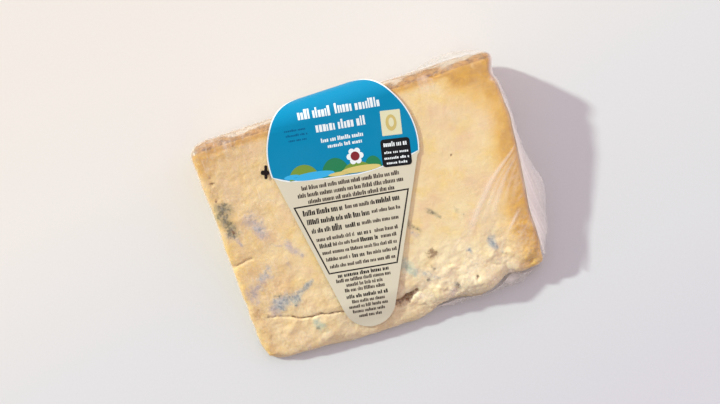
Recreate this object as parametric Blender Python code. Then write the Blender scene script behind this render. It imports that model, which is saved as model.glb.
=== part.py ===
"""A piece of blue Stilton in clear wrap, lying on one of its two cut faces.

The piece was cut from half of an upright drum. Its thick edge (+Y) is a strip of the
drum's round side, its right end (+X) is the drum's flat end, its left end and both
large faces are cuts, and its thin crumbly edge (-Y) lay near the drum's axis. The
origin is the middle of the footprint, on the surface that the cheese rests on.
"""

import math

import bmesh
import bpy
from mathutils import Vector, noise

MM = 0.001

# The cut piece, in millimetres
LEFT_AT_RIND = -70.0
LEFT_AT_NOSE = -68.9
RIGHT_AT_RIND = 64.0
RIGHT_AT_NOSE = 60.0
RIND_FOOT_Y = 50.4
RIND_HEIGHT = 30.0
DRUM_RADIUS = 100.0
NOSE_FOOT_Y = -53.2
NOSE_RIDGE_Y = -48.2
NOSE_HEIGHT = 8.6
TOP_EDGE_RADIUS = 2.6
BOTTOM_EDGE_RADIUS = 0.9
NOSE_CORNER_RADIUS = 9.5
RIND_CORNER_RADIUS = 3.6
MEAN_LENGTH = 131.0
MEAN_DEPTH = 96.0
MEAN_HEIGHT = 21.0

# How the edges stray from their lines: (where it starts, where it is full, how far)
LEFT_STEPS = ((2.0, 12.0, 0.5), (20.0, 30.0, -0.5))
FOOT_STEPS = ((-30.0, -60.0, 2.3), (-2.0, 13.0, 4.3), (34.0, 62.0, 2.2))
RIDGE_STEPS = ((-5.0, 10.0, 1.9), (36.0, 46.0, 2.0))
HEIGHT_STEPS = ((-45.0, 60.0, 4.2), (-35.0, -66.0, -3.4))
# and (centre, half width, how far): swellings and a nick of the drum's flat end, and a
# lump that stands out of the thin edge with a gap to its right
RIGHT_HUMPS = ((-22.0, 8.0, -0.8), (10.0, 14.0, 1.0), (19.0, 5.0, 0.6), (38.5, 4.0, -1.7))
FOOT_HUMPS = ((30.0, 8.0, -2.8), (45.0, 4.0, 2.5))
RIDGE_HUMPS = ((-45.0, 6.0, 1.3), (30.0, 8.0, -1.6), (45.0, 4.0, 1.8))

# The rind's lower right corner is worn away under the upper edge
TUCK_X = (48.0, 63.0)
TUCK_ALL_THE_WAY_UP = 1.6
TUCK_AT_FOOT = 6.5
TUCK_HEIGHT = 14.0

# The cells of the cheese's surface
CELLS_ALONG = 50
CELLS_ACROSS = 38
CELLS_UP = 4
ROW_CROWDING = 1.35  # above 1 the rows crowd towards the crumbly thin edge

# Relief of the cut faces: every figure is carved below the flat face
SWELL = 0.45
SWELL_SPAN = 30.0
SWELL_NOISE_AT_Z = 3.7
CRUMB_NOISE_AT_Z = 11.0
CRACK_NOISE_AT_Z = 29.0
CRUMB_DEPTH = 1.5
CRUMB_SPAN = 6.5
SMOOTH_DEPTH = 0.25
CRUMBLY_FROM_Y = -12.0
CRUMBLY_FULL_Y = -38.0
CRUMBLY_LEFT_X = (-30.0, -60.0)
CRUMBLY_LEFT = 0.55
CRACK_WANDER = 0.7
CRACK_WANDER_SPAN = 5.0

# Chips out of the ends and the thin edge, which taper off at the table
CHIP_SPAN = 7.0
CHIP_SMOOTH = 0.4
CHIP_CRUMBLY = 1.3
CHIP_RIND = 0.6
CHIP_FULL_Z = 3.0
CHIP_REACH = 0.03  # share of the block's length or depth
CHIP_NOISE_AT_X = 35.0  # where in the noise the chips are read
CHIP_SQUASH = 1.4  # above 1 the chips are wider than high

# Cracks: start, bend, end, half width and depth
CRACKS = (
    ((-60.0, -32.0), (-46.0, -36.0), (-29.0, -39.6), 1.5, 2.4),
    ((-69.0, -5.4), (-63.0, -5.2), (-57.0, -4.2), 1.2, 1.6),
    ((-8.0, -42.6), (-2.0, -41.6), (4.0, -40.2), 1.9, 4.2),
    ((52.0, -42.4), (55.5, -41.4), (58.5, -39.8), 1.5, 2.6),
    ((7.0, -38.6), (12.0, -39.8), (15.5, -42.4), 1.3, 1.6),
)
# Holes and dents: place, half width and depth
HOLES = (
    ((29.6, -43.0), 1.7, 2.6),
    ((20.2, -44.2), 1.6, 2.2),
    ((39.0, 44.5), 2.6, 2.6),
    ((-47.0, -10.0), 2.2, 1.0),
    ((-62.5, 9.0), 3.0, 1.0),
    ((15.0, -27.0), 2.4, 0.9),
)

# The sticker, unrolled: a disc with a tongue that tapers to a round tip
STICKER_BASE = (-8.9, 20.5)
STICKER_TURN = math.radians(8.6)
DOME_RADIUS = 32.1
DOME_CENTRE = 5.8
TONGUE_HALF_WIDTH = 30.7
TONGUE_TAPER = 0.308
TIP_RADIUS = 11.6
TIP_END = -70.4
STICKER_THICKNESS = 0.35
STICKER_GAP = 0.45
BEND_START_Y = 42.4
BEND_RADIUS = 8.2
TIP_NOD_FROM_Y = -42.0
TIP_NOD_RADIUS = 30.0
STICKER_ROWS = 38
STICKER_ROW_EVENNESS = 0.6  # below 1 the rows crowd towards the two round ends
STICKER_COLUMNS = 12

# The wrap where it stands clear of the cheese
FILM_THICKNESS = 0.5
FILM_GAP = 0.5
FILM_CLEAR_OF_TABLE = 1.0
FOLD_CELLS_DOWN = 6
END_FOLD_Y = (36.0, -42.5)
END_FOLD_REACH = 65.2
END_FOLD_BELLY = (-14.0, 12.0, 4.2)  # centre, half width, how far
END_FOLD_HANG = 2.2  # below the upper face
END_FOLD_DROOP = 2.6
END_FOLD_PLEAT = 0.4
END_FOLD_TAPER = (0.25, 0.85)  # shares of its run between which it is full
END_FOLD_WAVE = (0.9, 2.0, 0.23)
FRONT_FOLD_X = (6.0, 57.0)
FRONT_FOLD_REACH = -52.0
FRONT_FOLD_TOP = 5.4
FRONT_FOLD_STAND = 0.4
FRONT_FOLD_PLEAT = 0.5
FRONT_FOLD_TAPER = (0.22, 0.8)
FRONT_FOLD_WAVE = (1.1, 1.5, 0.31)
RIND_FOLD_X = (30.0, 60.5)
RIND_FOLD_Z = (26.0, 9.0)
RIND_FOLD_STAND = 2.9
RIND_FOLD_PLEAT = 0.4
RIND_FOLD_WAVE = (1.3, 0.0, 1.0)
RIND_FOLD_BELLY = (0.1, 0.95)  # shares of a half wave that it takes from top to bottom
FOLD_ROOT = 2.5  # how far down a fold reaches where it starts and ends


def mix(first, second, share):
    return first + (second - first) * share


def ramp(start, end, value):
    """0 at start, 1 at end, eased at both."""
    share = max(0.0, min(1.0, (value - start) / (end - start)))
    return share * share * (3 - 2 * share)


def hump(centre, half_width, value):
    return math.exp(-(((value - centre) / half_width) ** 2))


def steps_at(steps, value):
    return sum(far * ramp(start, full, value) for start, full, far in steps)


def humps_at(humps, value):
    return sum(far * hump(centre, half_width, value) for centre, half_width, far in humps)


def nose_foot(x):
    """Where the thin edge meets the table: it steps back to the right of the middle."""
    return NOSE_FOOT_Y + steps_at(FOOT_STEPS, x) + humps_at(FOOT_HUMPS, x)


def nose_ridge(x):
    return NOSE_RIDGE_Y + steps_at(RIDGE_STEPS, x) + humps_at(RIDGE_HUMPS, x)


def nose_height(x):
    return NOSE_HEIGHT + steps_at(HEIGHT_STEPS, x)


def rind_y(height):
    """The drum's round side, seen in section: it leans in as it rises."""
    return RIND_FOOT_Y - height**2 / (2 * DRUM_RADIUS)


def tucked(x, height):
    """How far the rind is worn back at its right corner, most at the foot."""
    low = max(0.0, 1 - height / TUCK_HEIGHT)
    return ramp(*TUCK_X, x) * (TUCK_ALL_THE_WAY_UP * (1 - height / RIND_HEIGHT) + TUCK_AT_FOOT * low**2)


def from_nose(y):
    """0 at the foot of the thin edge, 1 at the foot of the rind."""
    return (y - NOSE_FOOT_Y) / (RIND_FOOT_Y - NOSE_FOOT_Y)


def rounded_off(radius, into_corner):
    """How far a side is set back at a distance into a round corner."""
    into = max(0.0, min(radius, into_corner))
    return radius - math.sqrt(radius**2 - into**2)


def left_end(y, foot, back):
    at_nose = rounded_off(NOSE_CORNER_RADIUS, foot + NOSE_CORNER_RADIUS - y)
    at_rind = rounded_off(RIND_CORNER_RADIUS, y - back + RIND_CORNER_RADIUS)
    straight = mix(LEFT_AT_NOSE, LEFT_AT_RIND, from_nose(y))
    return straight + at_nose + at_rind + steps_at(LEFT_STEPS, y)


def right_end(y):
    return mix(RIGHT_AT_NOSE, RIGHT_AT_RIND, from_nose(y)) + humps_at(RIGHT_HUMPS, y)


def top_plane(x, y):
    """The upper cut face, without its relief."""
    share = (y - nose_ridge(x)) / (rind_y(RIND_HEIGHT) - nose_ridge(x))
    return mix(nose_height(x), RIND_HEIGHT, share)


def swell(x, y):
    """The slow rise and fall of a face that a wire has cut."""
    return SWELL * noise.noise(Vector((x, y, SWELL_NOISE_AT_Z)) / SWELL_SPAN)


def crumbliness(x, y):
    """1 where the cheese breaks into crumbs, 0 where it was cut smooth."""
    near_nose = ramp(CRUMBLY_FROM_Y, CRUMBLY_FULL_Y, y)
    near_left = CRUMBLY_LEFT * ramp(*CRUMBLY_LEFT_X, x)
    return min(1.0, near_nose + near_left)


def distance_to_line(point, start, end):
    along = end - start
    share = max(0.0, min(1.0, (point - start).dot(along) / along.length_squared))
    return (point - start - along * share).length


def carved(x, y):
    """How deep crumbs, cracks and holes are cut into the upper face, in millimetres."""
    grain = 0.5 + 0.5 * noise.noise(Vector((x, y, CRUMB_NOISE_AT_Z)) / CRUMB_SPAN)
    depth = grain * mix(SMOOTH_DEPTH, CRUMB_DEPTH, crumbliness(x, y))
    place = Vector((x, y))
    for start, bend, end, half_width, crack_depth in CRACKS:
        wavering = noise.noise(Vector((x, y, CRACK_NOISE_AT_Z)) / CRACK_WANDER_SPAN)
        nearest = min(
            distance_to_line(place, Vector(start), Vector(bend)),
            distance_to_line(place, Vector(bend), Vector(end)),
        )
        depth += crack_depth * hump(0, half_width, nearest + CRACK_WANDER * wavering)
    for centre, half_width, hole_depth in HOLES:
        depth += hole_depth * hump(0, half_width, (place - Vector(centre)).length)
    return depth


def rounded(point, size, radius):
    """A point of a box's surface, moved to the same box with its edges rounded."""
    inner = Vector(max(radius, min(side - radius, c)) for c, side in zip(point, size))
    outward = point - inner
    return inner + outward.normalized() * radius if outward.length > 0 else point


def wedge_point(place):
    """Where a point of the unit block lies on the piece of cheese, in millimetres."""
    size = Vector((MEAN_LENGTH, MEAN_DEPTH, MEAN_HEIGHT))
    radius = mix(BOTTOM_EDGE_RADIUS, TOP_EDGE_RADIUS, place.z)
    soft = rounded(Vector(p * side for p, side in zip(place, size)), size, radius)
    along, across, up = (c / side for c, side in zip(soft, size))
    rough_x = mix(LEFT_AT_NOSE, RIGHT_AT_RIND, along)
    front = mix(nose_foot(rough_x), nose_ridge(rough_x), up)
    back = rind_y(up * RIND_HEIGHT) - tucked(rough_x, up * RIND_HEIGHT)
    y = mix(front, back, across)
    x = mix(left_end(y, front, back), right_end(y), along)
    top = top_plane(x, y) + swell(x, y) - carved(x, y)
    z = up * top
    # the ends and the thin edge break unevenly too, inwards only
    place_in_noise = Vector((x + CHIP_NOISE_AT_X, y, z * CHIP_SQUASH))
    chip = 0.5 + 0.5 * noise.noise(place_in_noise / CHIP_SPAN)
    chip *= ramp(0, CHIP_FULL_Z, z)
    depth = chip * mix(CHIP_SMOOTH, CHIP_CRUMBLY, crumbliness(x, y))
    x += depth * (ramp(CHIP_REACH, 0, along) - ramp(1 - CHIP_REACH, 1, along))
    y += depth * ramp(CHIP_REACH, 0, across)
    y -= CHIP_RIND * chip * ramp(1 - CHIP_REACH, 1, across)
    return Vector((x, y, z))


def surface_material(name, colour, roughness):
    material = bpy.data.materials.new(name)
    material.use_nodes = True
    shader = material.node_tree.nodes["Principled BSDF"]
    shader.inputs["Base Color"].default_value = (*colour, 1)
    shader.inputs["Roughness"].default_value = roughness
    return material


def add_object(name, mesh, material):
    mesh.materials.append(material)
    made = bpy.data.objects.new(name, mesh)
    bpy.context.scene.collection.objects.link(made)
    return made


def add_cheese():
    """A gridded block, its lines crowded towards the thin edge, bent to the wedge."""
    mesh = bpy.data.meshes.new("cheese")
    block = bmesh.new()
    corner_lines = (TOP_EDGE_RADIUS / 3, TOP_EDGE_RADIUS)

    def lines(cells, side, crowding=1.0):
        """Cell lines from 0 to 1, with two extra ones in each rounded edge."""
        inner = [(i / cells) ** crowding for i in range(cells + 1)]
        close = [c / side for c in corner_lines]
        kept = [v for v in inner if close[-1] < v < 1 - close[-1]]
        return [0, *close, *kept, *(1 - c for c in reversed(close)), 1]

    along = lines(CELLS_ALONG, MEAN_LENGTH)
    across = lines(CELLS_ACROSS, MEAN_DEPTH, ROW_CROWDING)
    up = lines(CELLS_UP, MEAN_HEIGHT)
    grid = {}

    def corner(i, j, k):
        if (i, j, k) not in grid:
            grid[i, j, k] = block.verts.new(
                wedge_point(Vector((along[i], across[j], up[k]))) * MM
            )
        return grid[i, j, k]

    last = (len(along) - 1, len(across) - 1, len(up) - 1)
    for fixed in range(3):
        first_way, second_way = (fixed + 1) % 3, (fixed + 2) % 3
        for end in (0, last[fixed]):
            for a in range(last[first_way]):
                for b in range(last[second_way]):
                    steps = ((0, 0), (1, 0), (1, 1), (0, 1))
                    ring = []
                    for step_a, step_b in steps if end else reversed(steps):
                        place = [0, 0, 0]
                        place[fixed] = end
                        place[first_way] = a + step_a
                        place[second_way] = b + step_b
                        ring.append(corner(*place))
                    block.faces.new(ring)
    bmesh.ops.triangulate(block, faces=block.faces)
    bmesh.ops.recalc_face_normals(block, faces=block.faces)
    block.to_mesh(mesh)
    block.free()
    mesh.shade_smooth()
    cheese = surface_material("cheese_paste", (0.84, 0.64, 0.36), 0.45)
    return add_object("cheese", mesh, cheese)


def sheet_mesh(name, rows, thickness):
    """A closed thin sheet through rows of points, its second face moved along the normals."""
    mesh = bpy.data.meshes.new(name)
    sheet = bmesh.new()
    made = [[sheet.verts.new(Vector(point) * MM) for point in row] for row in rows]
    for upper, lower in zip(made, made[1:]):
        for i in range(max(len(upper), len(lower)) - 1):
            if len(upper) == 1:
                sheet.faces.new((upper[0], lower[i], lower[i + 1]))
            elif len(lower) == 1:
                sheet.faces.new((upper[i], lower[0], upper[i + 1]))
            else:
                sheet.faces.new((upper[i], lower[i], lower[i + 1], upper[i + 1]))
    sheet.normal_update()
    bmesh.ops.triangulate(sheet, faces=sheet.faces)
    bmesh.ops.solidify(sheet, geom=sheet.faces[:], thickness=-thickness * MM)
    bmesh.ops.recalc_face_normals(sheet, faces=sheet.faces)
    sheet.to_mesh(mesh)
    sheet.free()
    mesh.shade_smooth()
    return mesh


def sticker_half_width(along):
    """Half the sticker's width at a distance from its base line, towards the dome."""
    if along > 0:
        return math.sqrt(max(DOME_RADIUS**2 - (along - DOME_CENTRE) ** 2, 0))
    tip_centre = TIP_END + TIP_RADIUS
    touch = tip_centre - TIP_RADIUS * math.sin(math.atan(TONGUE_TAPER))
    if along > touch:
        return TONGUE_HALF_WIDTH + TONGUE_TAPER * along
    return math.sqrt(max(TIP_RADIUS**2 - (along - tip_centre) ** 2, 0))


def on_wrapped_face(x, unrolled_y, lift):
    """A place on the upper face, which runs on over the rind's edge in a round bend."""
    if unrolled_y <= BEND_START_Y:
        nod = max(0.0, TIP_NOD_FROM_Y - unrolled_y) ** 2 / (2 * TIP_NOD_RADIUS)
        flat = top_plane(x, unrolled_y) + swell(x, unrolled_y)
        return Vector((x, unrolled_y, flat + lift - nod))
    start_angle = math.atan(top_plane(x, BEND_START_Y) - top_plane(x, BEND_START_Y - 1))
    past = (unrolled_y - BEND_START_Y) / math.cos(start_angle)
    turned = past / BEND_RADIUS - start_angle
    start_z = top_plane(x, BEND_START_Y) + swell(x, BEND_START_Y) + lift
    y = BEND_START_Y + BEND_RADIUS * (math.sin(turned) + math.sin(start_angle))
    z = start_z + BEND_RADIUS * (math.cos(turned) - math.cos(start_angle))
    return Vector((x, y, z))


def add_sticker():
    top_end = DOME_CENTRE + DOME_RADIUS
    rows = []
    for row in range(STICKER_ROWS + 1):
        share = row / STICKER_ROWS
        crowded = 0.5 - 0.5 * math.cos(math.pi * share)
        along = mix(TIP_END, top_end, mix(crowded, share, STICKER_ROW_EVENNESS))
        half_width = sticker_half_width(along)
        if row in (0, STICKER_ROWS):
            shares = [0.0]
        else:
            shares = [2 * i / STICKER_COLUMNS - 1 for i in range(STICKER_COLUMNS + 1)]
        points = []
        for share_across in shares:
            across = half_width * share_across
            x = STICKER_BASE[0] + across * math.cos(STICKER_TURN) + along * math.sin(STICKER_TURN)
            y = STICKER_BASE[1] - across * math.sin(STICKER_TURN) + along * math.cos(STICKER_TURN)
            points.append(on_wrapped_face(x, y, STICKER_GAP))
        rows.append(points)
    paper = surface_material("sticker_paper", (0.06, 0.34, 0.48), 0.35)
    return add_object("label", sheet_mesh("label", rows, STICKER_THICKNESS), paper)


def nose_face_y(x, z):
    """The thin edge's sloping face at a height."""
    return mix(nose_foot(x), nose_ridge(x), min(1.0, z / nose_height(x)))


def pleat_wave(wave, place):
    """A wave of the given rate, made uneven by a slower one."""
    rate, unevenness, slow_rate = wave
    return math.sin(rate * place + unevenness * math.sin(slow_rate * place))


def tapered(taper, run):
    """0 at both ends of a fold, 1 where it is full."""
    return ramp(0.0, taper[0], run) * (1 - ramp(taper[1], 1.0, run))


def end_fold_point(run, down):
    """Past the drum's flat end: a fin of wrap stands out under the upper edge and droops."""
    y = mix(*END_FOLD_Y, run)
    body = tapered(END_FOLD_TAPER, run)
    close = right_end(y) + FILM_GAP
    pleat = END_FOLD_PLEAT * (pleat_wave(END_FOLD_WAVE, y) - 1)
    out = END_FOLD_REACH + humps_at((END_FOLD_BELLY,), y) + pleat
    narrow = close + FOLD_ROOT / 2
    x = mix(close, mix(narrow, max(out, narrow), body), down)
    high = top_plane(RIGHT_AT_NOSE, y) - END_FOLD_HANG
    return Vector((x, y, high - END_FOLD_DROOP * body * down**2))


def front_fold_point(run, down):
    """In front of the stepped part of the thin edge: the wrap's gathered hem."""
    x = mix(*FRONT_FOLD_X, run)
    body = tapered(FRONT_FOLD_TAPER, run)
    low = mix(FRONT_FOLD_TOP - FOLD_ROOT, FILM_CLEAR_OF_TABLE, min(1.0, 2 * body))
    z = mix(FRONT_FOLD_TOP, low, down)
    close = nose_face_y(x, z) - FILM_GAP - FRONT_FOLD_STAND
    pleat = FRONT_FOLD_PLEAT * pleat_wave(FRONT_FOLD_WAVE, x)
    out = min(close, FRONT_FOLD_REACH + pleat)
    return Vector((x, mix(close, out, body * down**0.7), z))


def rind_fold_point(run, down):
    """The tuft of wrap that stands off the rind at the right."""
    x = mix(*RIND_FOLD_X, run)
    body = math.sin(math.pi * run) ** 0.8
    low = mix(RIND_FOLD_Z[0] - FOLD_ROOT, RIND_FOLD_Z[1], body)
    z = mix(RIND_FOLD_Z[0], low, down)
    pleat = RIND_FOLD_PLEAT * pleat_wave(RIND_FOLD_WAVE, x)
    stand = body * (RIND_FOLD_STAND * math.sin(math.pi * mix(*RIND_FOLD_BELLY, down)) + pleat)
    return Vector((x, rind_y(z) + FILM_GAP + max(0.0, stand), z))


def add_fold(name, columns, point_at, outward, wrap):
    """A free fold of the wrap, its thickness added on the side away from the cheese."""
    rows = [
        [point_at(column / columns, down / FOLD_CELLS_DOWN) for column in range(columns + 1)]
        for down in range(FOLD_CELLS_DOWN + 1)
    ]
    return add_object(name, sheet_mesh(name, rows, outward * FILM_THICKNESS), wrap)


def build():
    for old in list(bpy.data.objects):
        bpy.data.objects.remove(old, do_unlink=True)
    add_cheese()
    add_sticker()
    wrap = surface_material("clear_wrap", (0.9, 0.9, 0.92), 0.12)
    add_fold("film_end_fold", 32, end_fold_point, -1, wrap)
    add_fold("film_front_fold", 28, front_fold_point, 1, wrap)
    add_fold("film_rind_fold", 22, rind_fold_point, -1, wrap)


build()
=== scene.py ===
import math
import random

import bmesh
import bpy
import numpy as np
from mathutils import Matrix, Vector, noise


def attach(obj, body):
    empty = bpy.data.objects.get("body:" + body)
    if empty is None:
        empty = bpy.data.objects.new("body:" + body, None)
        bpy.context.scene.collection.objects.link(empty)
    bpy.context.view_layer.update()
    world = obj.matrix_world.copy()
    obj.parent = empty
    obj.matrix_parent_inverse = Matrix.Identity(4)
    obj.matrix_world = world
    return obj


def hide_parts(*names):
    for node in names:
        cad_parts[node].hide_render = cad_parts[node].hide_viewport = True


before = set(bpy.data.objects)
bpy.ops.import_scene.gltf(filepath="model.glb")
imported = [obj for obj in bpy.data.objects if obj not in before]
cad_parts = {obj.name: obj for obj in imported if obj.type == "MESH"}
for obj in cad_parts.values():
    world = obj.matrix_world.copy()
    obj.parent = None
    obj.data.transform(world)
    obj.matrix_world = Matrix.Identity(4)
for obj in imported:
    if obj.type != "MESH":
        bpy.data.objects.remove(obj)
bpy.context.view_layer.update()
print("frame loaded")

mm = 0.001
noiseStep = 17.3  # how far apart two seeds read the noise

# The wedge's sizes in millimetres: the part's own first, then a few for the scene alone
wedge = {
    "leftAtRind": -70.0,
    "leftAtNose": -68.9,
    "rightAtRind": 64.0,
    "rightAtNose": 60.0,
    "rindFootY": 50.4,
    "rindHeight": 30.0,
    "drumRadius": 100.0,
    "noseFootY": -53.2,
    "noseRidgeY": -48.2,
    "noseHeight": 8.6,
    "swell": 0.45,
    "swellSpan": 30.0,
    "swellAtZ": 3.7,
    # how the edges stray from their lines: where it starts, where it is full, how far
    "leftSteps": ((2.0, 12.0, 0.5), (20.0, 30.0, -0.5)),
    "footSteps": ((-30.0, -60.0, 2.3), (-2.0, 13.0, 4.3), (34.0, 62.0, 2.2)),
    "ridgeSteps": ((-5.0, 10.0, 1.9), (36.0, 46.0, 2.0)),
    "heightSteps": ((-45.0, 60.0, 4.2), (-35.0, -66.0, -3.4)),
    # and centre, half width, how far
    "rightHumps": ((-22.0, 8.0, -0.8), (10.0, 14.0, 1.0), (19.0, 5.0, 0.6), (38.5, 4.0, -1.7)),
    "footHumps": ((30.0, 8.0, -2.8), (45.0, 4.0, 2.5)),
    "ridgeHumps": ((-45.0, 6.0, 1.3), (30.0, 8.0, -1.6), (45.0, 4.0, 1.8)),
    # the front edge is thinner by the label's tip: from, full, easing off, end, how much
    "thinAcross": (-50.0, -24.0, 4.0, 13.0),
    "thinFrom": (-36.0, -48.0),
    "thinDrop": 2.0,
    # how far the front face bulges between its ridge and its foot, along which stretch, and
    # where it does so less: centre, half width, how much less
    "frontBulge": 1.7,
    "bulgeAcross": (-67.0, -55.0, 50.0, 62.0),
    "bulgeDip": (27.0, 9.0, 0.7),
    # the bulge's centre and half width, as shares of the face's height
    "bulgeUp": (0.6, 0.32),
}


def mix(first, second, share):
    return first + (second - first) * share


def ramp(start, end, value):
    share = np.clip((value - start) / (end - start), 0.0, 1.0)
    return share * share * (3 - 2 * share)


def hump(centre, halfWidth, value):
    return np.exp(-(((value - centre) / halfWidth) ** 2))


def band(limits, value):
    # from, full, easing off, end
    start, full, ease, end = limits
    return ramp(start, full, value) * ramp(end, ease, value)


def stepsAt(steps, value):
    return sum(far * ramp(start, full, value) for start, full, far in steps)


def humpsAt(humps, value):
    return sum(far * hump(centre, halfWidth, value) for centre, halfWidth, far in humps)


def rindY(height):
    return wedge["rindFootY"] - height**2 / (2 * wedge["drumRadius"])


def fromNose(y):
    return (y - wedge["noseFootY"]) / (wedge["rindFootY"] - wedge["noseFootY"])


def leftEnd(y):
    straight = mix(wedge["leftAtNose"], wedge["leftAtRind"], fromNose(y))
    return straight + stepsAt(wedge["leftSteps"], y)


def rightEnd(y):
    straight = mix(wedge["rightAtNose"], wedge["rightAtRind"], fromNose(y))
    return straight + humpsAt(wedge["rightHumps"], y)


def noseFoot(x):
    return wedge["noseFootY"] + stepsAt(wedge["footSteps"], x) + humpsAt(wedge["footHumps"], x)


def noseRidge(x):
    return wedge["noseRidgeY"] + stepsAt(wedge["ridgeSteps"], x) + humpsAt(wedge["ridgeHumps"], x)


def noseHeight(x):
    return wedge["noseHeight"] + stepsAt(wedge["heightSteps"], x)


def topPlane(x, y):
    share = (y - noseRidge(x)) / (rindY(wedge["rindHeight"]) - noseRidge(x))
    return mix(noseHeight(x), wedge["rindHeight"], share)


def thinHere(x):
    return band(wedge["thinAcross"], x)


def frontBulge(x, share):
    # how far the front face stands out at that share of its height; its ends stay in
    dipPlace, dipWidth, dip = wedge["bulgeDip"]
    across = band(wedge["bulgeAcross"], x) * (1 - dip * hump(dipPlace, dipWidth, x))
    return wedge["frontBulge"] * across * hump(*wedge["bulgeUp"], share)


def thinDrop(x, y):
    return wedge["thinDrop"] * thinHere(x) * ramp(*wedge["thinFrom"], y)


def swell(x, y):
    place = Vector((x, y, wedge["swellAtZ"])) / wedge["swellSpan"]
    return wedge["swell"] * noise.noise(place)


def noiseField(x, y, z, span, seed=0.0):
    spots = np.stack([x, y, z], axis=1) / span + seed * noiseStep
    return np.array([noise.noise(spot) for spot in spots.tolist()])


def warped(x, y, span, reach, seed):
    # the same places pushed about by soft noise, so that what is drawn there wanders
    level = np.zeros_like(x)
    return (
        x + reach * noiseField(x, y, level, span, seed),
        y + reach * noiseField(x, y, level, span, seed + 1),
    )


def cellFields(x, y, z, span):
    # distances to the nearest and the second nearest of scattered points
    spots = np.stack([x, y, z], axis=1) / span
    near = np.array([noise.voronoi(spot)[0][:2] for spot in spots.tolist()])
    return near[:, 0], near[:, 1]


def lineField(x, y, start, end):
    # distance to a line on the top, and how far along it that is
    alongX, alongY = end[0] - start[0], end[1] - start[1]
    share = ((x - start[0]) * alongX + (y - start[1]) * alongY) / (alongX**2 + alongY**2)
    share = np.clip(share, 0.0, 1.0)
    away = np.hypot(x - start[0] - alongX * share, y - start[1] - alongY * share)
    return away, share


# Picking, copying and finishing pieces
def pickOnly(piece):
    if bpy.context.mode != "OBJECT":
        bpy.ops.object.mode_set(mode="OBJECT")
    bpy.ops.object.select_all(action="DESELECT")
    piece.select_set(True)
    bpy.context.view_layer.objects.active = piece


def applyModifier(piece, kind, **settings):
    modifier = piece.modifiers.new(kind.lower(), kind)
    for name, value in settings.items():
        setattr(modifier, name, value)
    pickOnly(piece)
    bpy.ops.object.modifier_apply(modifier=modifier.name)


def copyOfNode(node, name):
    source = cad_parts[node]
    piece = source.copy()
    piece.data = source.data.copy()
    piece.name = name
    piece.parent = None
    piece.data.materials.clear()
    bpy.context.scene.collection.objects.link(piece)
    piece.hide_render = False
    piece.hide_viewport = False
    piece.hide_set(False)
    pickOnly(piece)
    bpy.ops.object.mode_set(mode="EDIT")
    bpy.ops.mesh.select_all(action="SELECT")
    bpy.ops.mesh.remove_doubles(threshold=0.00001)
    bpy.ops.object.mode_set(mode="OBJECT")
    return piece


def shadeSmooth(piece):
    pickOnly(piece)
    bpy.ops.object.shade_smooth()


def joinPieces(pieces, name):
    pickOnly(pieces[0])
    for piece in pieces:
        piece.select_set(True)
    bpy.ops.object.join()
    joined = bpy.context.view_layer.objects.active
    joined.name = name
    return joined


def placesOf(piece):
    places = np.empty(len(piece.data.vertices) * 3, np.float32)
    piece.data.vertices.foreach_get("co", places)
    return places.reshape(-1, 3).astype(np.float64) / mm


def normalsOf(piece):
    normals = np.empty(len(piece.data.vertices) * 3, np.float32)
    piece.data.vertices.foreach_get("normal", normals)
    return normals.reshape(-1, 3).astype(np.float64)


def setPlaces(piece, places):
    piece.data.vertices.foreach_set("co", (places * mm).astype(np.float32).reshape(-1))
    piece.data.update()


def flattenUnderside(piece, restHeight):
    # the flat underside becomes a few large faces, so that the triangles go where they show
    mesh = bmesh.new()
    mesh.from_mesh(piece.data)
    for vert in mesh.verts:
        vert.co.z = max(vert.co.z, restHeight * mm)
    flat = [f for f in mesh.faces if max(v.co.z for v in f.verts) < (restHeight + 0.001) * mm]
    bmesh.ops.dissolve_faces(mesh, faces=flat, use_verts=False)
    mesh.to_mesh(piece.data)
    mesh.free()
    piece.data.update()


def addAttribute(piece, name, values):
    attribute = piece.data.attributes.new(name, "FLOAT", "POINT")
    attribute.data.foreach_set("value", np.asarray(values, np.float32))


# Shader nodes
def newMaterial(name):
    material = bpy.data.materials.new(name)
    material.use_nodes = True
    material.node_tree.nodes.clear()
    return material, material.node_tree


def addNode(tree, kind, inputs=None, **settings):
    node = tree.nodes.new(kind)
    for name, value in settings.items():
        setattr(node, name, value)
    for socket, value in (inputs or {}).items():
        if isinstance(value, bpy.types.NodeSocket):
            tree.links.new(value, node.inputs[socket])
        else:
            node.inputs[socket].default_value = value
    return node


def mathNode(tree, operation, first, second=0.0, clamp=False):
    node = addNode(
        tree, "ShaderNodeMath", {0: first, 1: second}, operation=operation, use_clamp=clamp
    )
    return node.outputs[0]


def times(tree, first, second, clamp=False):
    return mathNode(tree, "MULTIPLY", first, second, clamp)


def plus(tree, first, second, clamp=False):
    return mathNode(tree, "ADD", first, second, clamp)


def minus(tree, first, second):
    return mathNode(tree, "SUBTRACT", first, second)


def dotProduct(tree, vector, direction):
    node = addNode(
        tree, "ShaderNodeVectorMath", {0: vector, 1: direction}, operation="DOT_PRODUCT"
    )
    return node.outputs["Value"]


def easedRange(tree, value, low, high, lowResult=0.0, highResult=1.0):
    node = addNode(
        tree,
        "ShaderNodeMapRange",
        {
            "Value": value,
            "From Min": low,
            "From Max": high,
            "To Min": lowResult,
            "To Max": highResult,
        },
        interpolation_type="SMOOTHSTEP",
    )
    return node.outputs["Result"]


def mixColour(tree, share, first, second):
    node = addNode(tree, "ShaderNodeMix", {0: share, 6: first, 7: second}, data_type="RGBA")
    return node.outputs[2]


def objectPlace(tree):
    return addNode(tree, "ShaderNodeTexCoord").outputs["Object"]


def mappedPlace(tree, place, setting, value):
    return addNode(tree, "ShaderNodeMapping", {"Vector": place, setting: value}).outputs["Vector"]


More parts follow.
